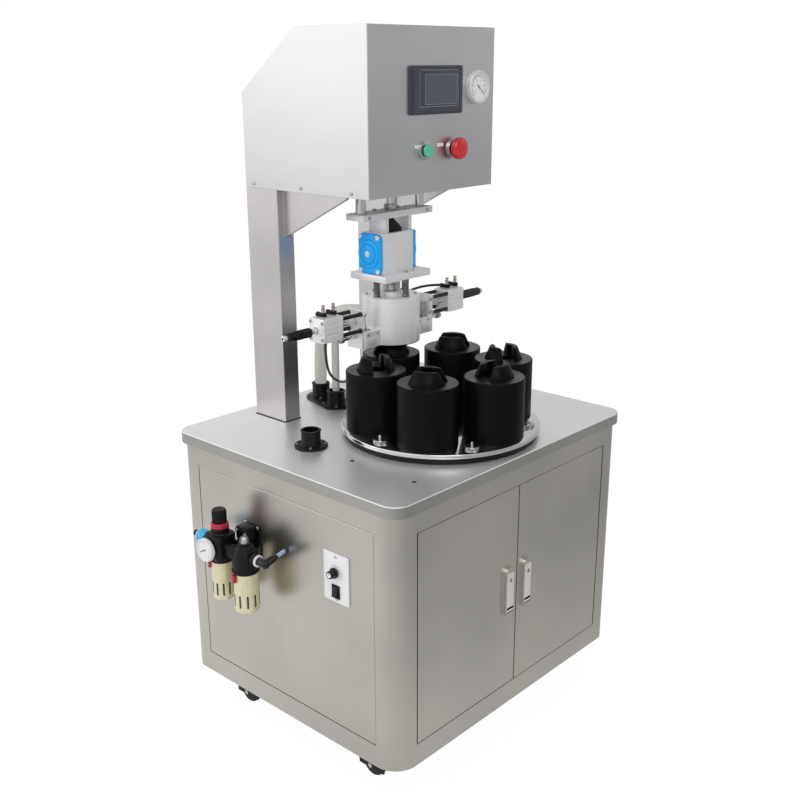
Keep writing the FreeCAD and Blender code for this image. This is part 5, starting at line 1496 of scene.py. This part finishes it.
        form.add(turned([(0, 24), (4, 24), (4, reach - 2), (0, reach - 2)], elbow, run, 32),
                 "pale_polyurethane")
        form.add(turned([(4.2, 0), (7, 0), (7, 3), (6, 4), (4.2, 4)], tip, LEFT, 36, True),
                 "black_rubber")
        form.finish("machine", "lubricator")
        dome = Form("sight_dome")
        dome.add(turned([(0, 25), (9, 25), (9, 31), (8, 35), (5.4, 37.8), (0, 39)], (x, y, z), UP,
                        48), "clear_acrylic")
        dome.add(turned([(0, 24.9), (3.4, 24.9), (3.4, 32), (1.2, 34.5), (0, 34.5)], (x, y, z), UP,
                        28), "white_enamel")
        dome.finish("machine")

    def knob(self):
        """Ribbed pressure knob on a crimson lock ring."""
        low, high = span("regulator_knob")
        x, y = (low.x + high.x) / 2, (low.y + high.y) / 2
        form = Form("pressure_knob")
        form.add(turned([(14.4, 0), (16.6, 0), (17, 0.6), (17, 9), (16.4, 9.8), (14.4, 9.8)],
                        (x, y, low.z), UP, 64, True), NYLON)
        form.add(turned([(13.6, 9.8), (17, 9.8), (17, 16.8), (16, 18.6), (13.6, 19)],
                        (x, y, low.z), UP, 64, True), "crimson_acetal")
        form.add(ridged(14, 0.8, 23.5, (x, y, low.z + 19), UP, 26, 0.3), NYLON)
        form.add(turned([(0, 42), (13.4, 42), (13, 44), (11.8, 45), (0, 44.4)], (x, y, low.z), UP,
                        64), NYLON)
        form.finish("regulator_knob", "regulator_knob")

    def valve(self):
        """Knurled cyan sleeve with a pale end ring."""
        low, high = span("hand_valve")
        x, z = (low.x + high.x) / 2, (low.z + high.z) / 2
        form = Form("valve_sleeve")
        form.add(turned([(8.3, 0), (12.6, 0), (14, 1.4), (14, 5), (13.2, 5.6), (13.2, 6.4),
                         (14, 7), (14, 15), (13.2, 15.6), (13.2, 16.4), (14, 17), (14, 19),
                         (8.3, 19)], (x, low.y, z), BACK, 64, True), "cyan_anodised")
        for step in range(24):
            angle = math.tau * step / 24
            out = Vector((math.cos(angle), 0, math.sin(angle)))
            foot = Vector((x, low.y + 7.2, z)) + out * 13.75
            form.add(bar(0.5, 7.6, foot, BACK, 0, 6), "cyan_anodised")
        form.add(turned([(8.3, 19), (13.6, 19), (13.6, 21), (12.4, 22), (8.3, 22)],
                        (x, low.y, z), BACK, 64, True), "white_enamel")
        form.finish("hand_valve", "hand_valve")


# Speed control: sheet and screws of the plate, the rocker's frame as half width and half height,
# and the ticks of the scale.
PLATE_SHEET, PLATE_SCREW_UP = 3.0, 41.5
ROCKER_HEIGHT, ROCKER_FRAME, ROCKER_WINDOW = 399.0, (9.5, 13.0), (6.8, 10.3)
SPEED_TICKS = 11


class CAPPING_OT_speed_control(bpy.types.Operator):
    """White plate with the speed knob, its scale and the rocker switch"""
    bl_idname = "capping.speed_control"
    bl_label = "Speed control"

    def execute(self, context):
        low, high = span("speed_plate")
        wall = high.x
        face = wall - PLATE_SHEET
        y, z = (low.y + high.y) / 2, (low.z + high.z) / 2
        knob = centre("speed_knob")
        plate = Form("speed_plate_sheet")
        plate.add(slab((face, low.y, low.z), (wall, high.y, high.z), 3, RIGHT, 0.4), "white_enamel")
        for dz in (-PLATE_SCREW_UP, PLATE_SCREW_UP):
            plate.add(pan_screw(3.0, 1.4, (face, y, z + dz), LEFT), ZINC)
        plate.add(turned([(0, 0), (6, 0), (6, 2.6), (5.6, 3), (0, 3)],
                         (face, knob.y, knob.z), LEFT, 40), ZINC)
        outer, inner = [[(face, y + sy * half, ROCKER_HEIGHT + sz * tall)
                         for sy, sz in ((1, 1), (-1, 1), (-1, -1), (1, -1))]
                        for half, tall in (ROCKER_FRAME, ROCKER_WINDOW)]
        plate.add(window(outer, inner, (-2.5, 0, 0), 0.4), PHENOLIC)
        for step in range(SPEED_TICKS):
            angle = math.radians(SCALE_START - SCALE_SWEEP * step / (SPEED_TICKS - 1))
            plate.add(dial_tick(12.4, 15.0, 0.35, 0.15, angle, to_left(face, knob.y, knob.z)),
                      "grey_ink")
        plate.finish("machine", "speed_plate")
        grip = Form("speed_grip")
        base = span("speed_knob")[1].x
        grip.add(ridged(10, 0.35, 4, (base, knob.y, knob.z), LEFT, 30, 0.2), PHENOLIC)
        grip.add(turned([(0, 3.8), (7.8, 3.8), (7.4, 13), (6.8, 14), (0, 14)],
                        (base, knob.y, knob.z), LEFT, 48), PHENOLIC)
        grip.add(turned([(0, 13.6), (5.0, 13.6), (4.6, 14.4), (0, 14.4)],
                        (base, knob.y, knob.z), LEFT, 36), "white_enamel")
        grip.add(block((base - 14.7, knob.y - 0.6, knob.z + 0.5),
                       (base - 14.2, knob.y + 0.6, knob.z + 4.6), 0.1), "black_ink_and_painted_shade")
        grip.finish("speed_knob", "speed_knob")
        dressed("speed_rocker", PHENOLIC, 0.5)
        return {"FINISHED"}


# Casters: radius and top of the swivel that carries a fork.
SWIVEL_RADIUS, CASTER_HEIGHT = 17.0, 75.0


class CAPPING_OT_casters(bpy.types.Operator):
    """Twin-cheek casters with rubber tyres and zinc axle bolts"""
    bl_idname = "capping.casters"
    bl_label = "Casters"

    def execute(self, context):
        for index in range(1, 5):
            fork, wheel = f"caster_fork_{index}", f"caster_wheel_{index}"
            dressed(fork, NYLON, 1.2)
            low, high = span(wheel)
            x, y, z = (low + high) / 2
            half = (high.x - low.x) / 2
            form = Form("tyre_" + str(index))
            form.add(turned([(4.3, -half), (19, -half), (20, -half + 1.4), (21.5, -half + 1.4),
                             (23.6, -half), (25, -half + 2.6), (25, half - 2.6), (23.6, half),
                             (21.5, half - 1.4), (20, half - 1.4), (19, half), (4.3, half)],
                            (x, y, z), RIGHT, 72, True), "black_rubber")
            form.finish(f"wheel_{index}", wheel)
            bolts = Form("caster_bolts_" + str(index))
            fork_low, fork_high = span(fork)
            for face, along in ((fork_low.x, LEFT), (fork_high.x, RIGHT)):
                bolts.add(prism(9.5, 3.0, (face - along.x * 2.0, y, z), along, 6, 0.5), ZINC)
            stem_y = (fork_low.y + SWIVEL_RADIUS if index < 3 else fork_high.y - SWIVEL_RADIUS)
            bolts.add(turned([(0, -5), (15.5, -5), (SWIVEL_RADIUS, -4), (SWIVEL_RADIUS, -1.2),
                              (15, 0), (0, 0)], (x, stem_y, CASTER_HEIGHT), UP, 48), ZINC)
            bolts.finish(f"caster_{index}")
        return {"FINISHED"}


# Camera and studio.

LENS, FILM_WIDTH, SHIFT = 47.54, 36, (0.0022, 0.0083)
CAMERA_PLACE = (-1.46724, -1.37135, 1.29346)
CAMERA_TURN, CAMERA_DROP, CAMERA_ROLL = -47.33, 18.08, -0.24
LAMP_AIM = Vector((0, 0, 0.8))
# Brightness of the floor as seen, and as mirrored on its dark and bright sides, near and far: in
# reflections the floor is painted dark to the front-right and bright to the left-back, darker still
# near the object on the dark side as painted shade, and brighter near it on the bright side as
# painted light.
FLOOR_WHITE = 1.03
FLOOR_DARK, FLOOR_BRIGHT, FLOOR_REACH = (0.28, 0.42), (1.1, 0.68), (0.5, 2.2)
LAMPS = {
    # name: (place in metres, size in metres, share of the light)
    "window_left": ((-2.2, -2.6, 3.4), 2.5, 1.0),
    "window_back": ((-3.0, 2.6, 1.6), 2.2, 0.25),
    "fill_right": ((3.2, -2.0, 2.2), 2.4, 0.12),
}


def view_axes():
    """Right, up and back of the camera that took the photograph."""
    turn, drop, roll = [math.radians(a) for a in (CAMERA_TURN, CAMERA_DROP, CAMERA_ROLL)]
    back = Vector((math.sin(turn) * math.cos(drop), -math.cos(turn) * math.cos(drop),
                   math.sin(drop)))
    right = Vector((math.cos(turn), math.sin(turn), 0))
    up = back.cross(right)
    return (right * math.cos(roll) + up * math.sin(roll),
            up * math.cos(roll) - right * math.sin(roll), back)


class CAPPING_OT_camera(bpy.types.Operator):
    """Camera at the photograph's viewing angle"""
    bl_idname = "capping.camera"
    bl_label = "Camera"

    def execute(self, context):
        lens = bpy.data.cameras.new("camera")
        lens.lens = LENS
        lens.sensor_width = FILM_WIDTH
        lens.shift_x, lens.shift_y = SHIFT
        camera = bpy.data.objects.new("camera", lens)
        context.scene.collection.objects.link(camera)
        camera.matrix_world = (Matrix.Translation(CAMERA_PLACE)
                               @ Matrix(view_axes()).transposed().to_4x4())
        context.scene.camera = camera
        return {"FINISHED"}


class CAPPING_OT_stage(bpy.types.Operator):
    """Pale floor, white surroundings and plain studio lamps"""
    bl_idname = "capping.stage"
    bl_label = "Studio"

    def execute(self, context):
        context.scene.view_settings.view_transform = "Standard"
        self.surroundings(context)
        self.floor(context)
        for name, (spot, size, share) in LAMPS.items():
            lamp = bpy.data.lights.new(name, "AREA")
            lamp.shape = "DISK"
            lamp.size = size
            lamp.energy = context.scene.capping_studio.lamp_power * share
            stand_in = bpy.data.objects.new(name, lamp)
            context.scene.collection.objects.link(stand_in)
            toward = LAMP_AIM - Vector(spot)
            stand_in.location = spot
            stand_in.rotation_euler = toward.to_track_quat("-Z", "Y").to_euler()
            stand_in.visible_camera = False
        return {"FINISHED"}

    def surroundings(self, context):
        """White behind the object; a room brighter on the left and back lights it."""
        world = bpy.data.worlds.new("studio")
        context.scene.world = world
        world.use_nodes = True
        tree = world.node_tree
        tree.nodes.clear()
        ray = add(tree, "ShaderNodeLightPath")
        seen = add(tree, "ShaderNodeMath", {"operation": "MAXIMUM"},
                   {0: ray.outputs["Is Camera Ray"], 1: ray.outputs["Is Transmission Ray"]})
        toward = add(tree, "ShaderNodeTexCoord").outputs["Generated"]
        side = add(tree, "ShaderNodeVectorMath", {"operation": "DOT_PRODUCT"},
                   {0: toward, 1: (-0.707, 0.707, 0.0)}).outputs["Value"]
        studio = context.scene.capping_studio
        room = add(tree, "ShaderNodeMath", {"operation": "MULTIPLY_ADD"},
                   {0: side, 1: studio.room_contrast, 2: studio.room_light}).outputs[0]
        strength = add(tree, "ShaderNodeMix", {"data_type": "FLOAT"},
                       {0: seen.outputs[0], 2: room, 3: 1.0}).outputs[0]
        light = add(tree, "ShaderNodeBackground", None,
                    {"Color": (1, 1, 1, 1), "Strength": strength})
        add(tree, "ShaderNodeOutputWorld", None, {"Surface": light.outputs[0]})

    def floor(self, context):
        """Pale floor that keeps the object's shadow and shows white around it; in reflections its
        glow is painted, darker to the front-right and brighter to the left-back.
        """
        shape = bmesh.new()
        bmesh.ops.create_grid(shape, x_segments=1, y_segments=1, size=30)
        mesh = bpy.data.meshes.new("floor")
        shape.to_mesh(mesh)
        shape.free()
        paper = bpy.data.materials.new("white_paper_floor")
        paper.use_nodes = True
        tree = paper.node_tree
        tree.nodes.clear()
        ray = add(tree, "ShaderNodeLightPath")
        spot = add(tree, "ShaderNodeTexCoord").outputs["Object"]
        side = add(tree, "ShaderNodeVectorMath", {"operation": "DOT_PRODUCT"},
                   {0: spot, 1: (-0.44, 0.44, 0.0)}).outputs["Value"]
        share = add(tree, "ShaderNodeMapRange", None,
                    {"Value": side, "From Min": -0.9, "From Max": 0.9}).outputs[0]
        reach = add(tree, "ShaderNodeVectorMath", {"operation": "LENGTH"},
                    {0: spot}).outputs["Value"]
        # Mirrored glow by distance from the object: painted shade near it on the dark side, painted
        # light near it on the bright side.
        dim, bright = [add(tree, "ShaderNodeMapRange", None,
                           {"Value": reach, "From Min": FLOOR_REACH[0],
                            "From Max": FLOOR_REACH[1], "To Min": near, "To Max": far}).outputs[0]
                       for near, far in (FLOOR_DARK, FLOOR_BRIGHT)]
        level = add(tree, "ShaderNodeMix", {"data_type": "FLOAT"},
                    {0: share, 2: dim, 3: bright}).outputs[0]
        strength = add(tree, "ShaderNodeMix", {"data_type": "FLOAT"},
                       {0: ray.outputs["Is Glossy Ray"], 2: FLOOR_WHITE, 3: level}).outputs[0]
        glow = add(tree, "ShaderNodeEmission", None,
                   {"Color": (1, 1, 1, 1), "Strength": strength})
        matt = add(tree, "ShaderNodeBsdfDiffuse", None, {"Color": linear("#f4f4f4")})
        kinds = add(tree, "ShaderNodeMath", {"operation": "MAXIMUM"},
                    {0: ray.outputs["Is Camera Ray"], 1: ray.outputs["Is Transmission Ray"]})
        kinds = add(tree, "ShaderNodeMath", {"operation": "MAXIMUM"},
                    {0: kinds.outputs[0], 1: ray.outputs["Is Glossy Ray"]})
        white = add(tree, "ShaderNodeMath", {"operation": "MULTIPLY"},
                    {0: kinds.outputs[0], 1: context.scene.capping_studio.floor_glow})
        surface(tree, add(tree, "ShaderNodeMixShader", None,
                          {0: white.outputs[0], 1: matt.outputs[0], 2: glow.outputs[0]}))
        mesh.materials.append(paper)
        floor = bpy.data.objects.new("floor", mesh)
        context.scene.collection.objects.link(floor)


# Settings, panel and registration.

class CappingSizes(bpy.types.PropertyGroup):
    """Sizes a user may change"""
    sheet_edge: bpy.props.FloatProperty(
        name="Sheet edge", description="Rounding of sheet and plate edges on the cabinet and head",
        default=0.0009, min=0.0, unit="LENGTH")
    plate_edge: bpy.props.FloatProperty(
        name="Plate edge", description="Broken edge of the aluminium plates",
        default=0.0008, min=0.0, unit="LENGTH")
    near_post_round: bpy.props.FloatProperty(
        name="Near post round", description="Outer radius of the cabinet's front left post",
        default=0.05, min=0.025, max=0.0505, unit="LENGTH")
    post_round: bpy.props.FloatProperty(
        name="Post round", description="Outer radius of the cabinet's other posts",
        default=0.028, min=0.025, max=0.0505, unit="LENGTH")
    screw_radius: bpy.props.FloatProperty(
        name="Cover screw radius", description="Head radius of the head cover's screws",
        default=0.004, min=0.001, unit="LENGTH")
    knob_ridges: bpy.props.IntProperty(
        name="Knob ridges", description="Ridges round each stroke knob", default=20, min=6)
    guard_slots: bpy.props.IntProperty(
        name="Guard slots", description="Slots round each bowl guard", default=10, min=4)
    dial_ticks: bpy.props.IntProperty(
        name="Dial ticks", description="Ticks on the vacuum gauge's scale", default=51, min=11)


class CappingColours(bpy.types.PropertyGroup):
    """Colours a user may change"""
    end_caps: bpy.props.FloatVectorProperty(
        name="End caps", description="Enamel of the actuator's end caps", subtype="COLOR", size=4,
        min=0, max=1, default=linear("#06b0ff"))
    holders: bpy.props.FloatVectorProperty(
        name="Holders", description="Acetal of the jar holders", subtype="COLOR", size=4,
        min=0, max=1, default=linear("#0b0b0d"))
    start_lens: bpy.props.FloatVectorProperty(
        name="Start button", description="Lens of the start button", subtype="COLOR", size=4,
        min=0, max=1, default=linear("#52cba8"))
    stop_head: bpy.props.FloatVectorProperty(
        name="Stop button", description="Mushroom head of the stop button", subtype="COLOR", size=4,
        min=0, max=1, default=linear("#d6232c"))
    guards: bpy.props.FloatVectorProperty(
        name="Bowl guards", description="Passivated guards of the air service bowls",
        subtype="COLOR", size=4, min=0, max=1, default=linear("#ece7c6"))
    valve_sleeve: bpy.props.FloatVectorProperty(
        name="Valve sleeve", description="Anodised sleeve of the hand valve", subtype="COLOR",
        size=4, min=0, max=1, default=linear("#22c3ee"))


class CappingStudio(bpy.types.PropertyGroup):
    """Light a user may change"""
    room_light: bpy.props.FloatProperty(
        name="Room light", description="Light from the surroundings, 1 being white",
        default=0.74, min=0.0, max=1.5)
    room_contrast: bpy.props.FloatProperty(
        name="Room contrast", description="How much brighter the room is on the left and back",
        default=0.38, min=0.0, max=1.0)
    lamp_power: bpy.props.FloatProperty(
        name="Lamp power", description="Power of the main lamp", default=40.0, min=0.0,
        unit="POWER")
    floor_glow: bpy.props.FloatProperty(
        name="Floor white", description="How far the floor is white without its shadow",
        default=0.93, min=0.0, max=1.0, subtype="FACTOR")


STEPS = (CAPPING_OT_camera, CAPPING_OT_hoses, CAPPING_OT_cabinet, CAPPING_OT_head,
         CAPPING_OT_controls, CAPPING_OT_press, CAPPING_OT_bell, CAPPING_OT_clamps,
         CAPPING_OT_turntable, CAPPING_OT_spigots, CAPPING_OT_air_service,
         CAPPING_OT_speed_control, CAPPING_OT_casters, CAPPING_OT_stage)


class CAPPING_PT_machine(bpy.types.Panel):
    """Lists the machine's pieces and settings"""
    bl_idname = "CAPPING_PT_machine"
    bl_label = "Vacuum capping machine"
    bl_space_type = "VIEW_3D"
    bl_region_type = "UI"
    bl_category = "Capping"

    def draw(self, context):
        for group in GROUPS:
            settings = getattr(context.scene, group)
            box = self.layout.box()
            for name in settings.__annotations__:
                box.prop(settings, name)
        for step in STEPS:
            self.layout.operator(step.bl_idname)


GROUPS = {"capping_sizes": CappingSizes, "capping_colours": CappingColours,
          "capping_studio": CappingStudio}
CLASSES = (*GROUPS.values(), *STEPS, CAPPING_PT_machine)


def register():
    for cls in CLASSES:
        bpy.utils.register_class(cls)
    for name, group in GROUPS.items():
        setattr(bpy.types.Scene, name, bpy.props.PointerProperty(type=group))


def unregister():
    for name in GROUPS:
        delattr(bpy.types.Scene, name)
    for cls in reversed(CLASSES):
        bpy.utils.unregister_class(cls)


def main():
    register()
    for step in STEPS:
        family, name = step.bl_idname.split(".")
        getattr(getattr(bpy.ops, family), name)()


if __name__ == "__main__":
    main()
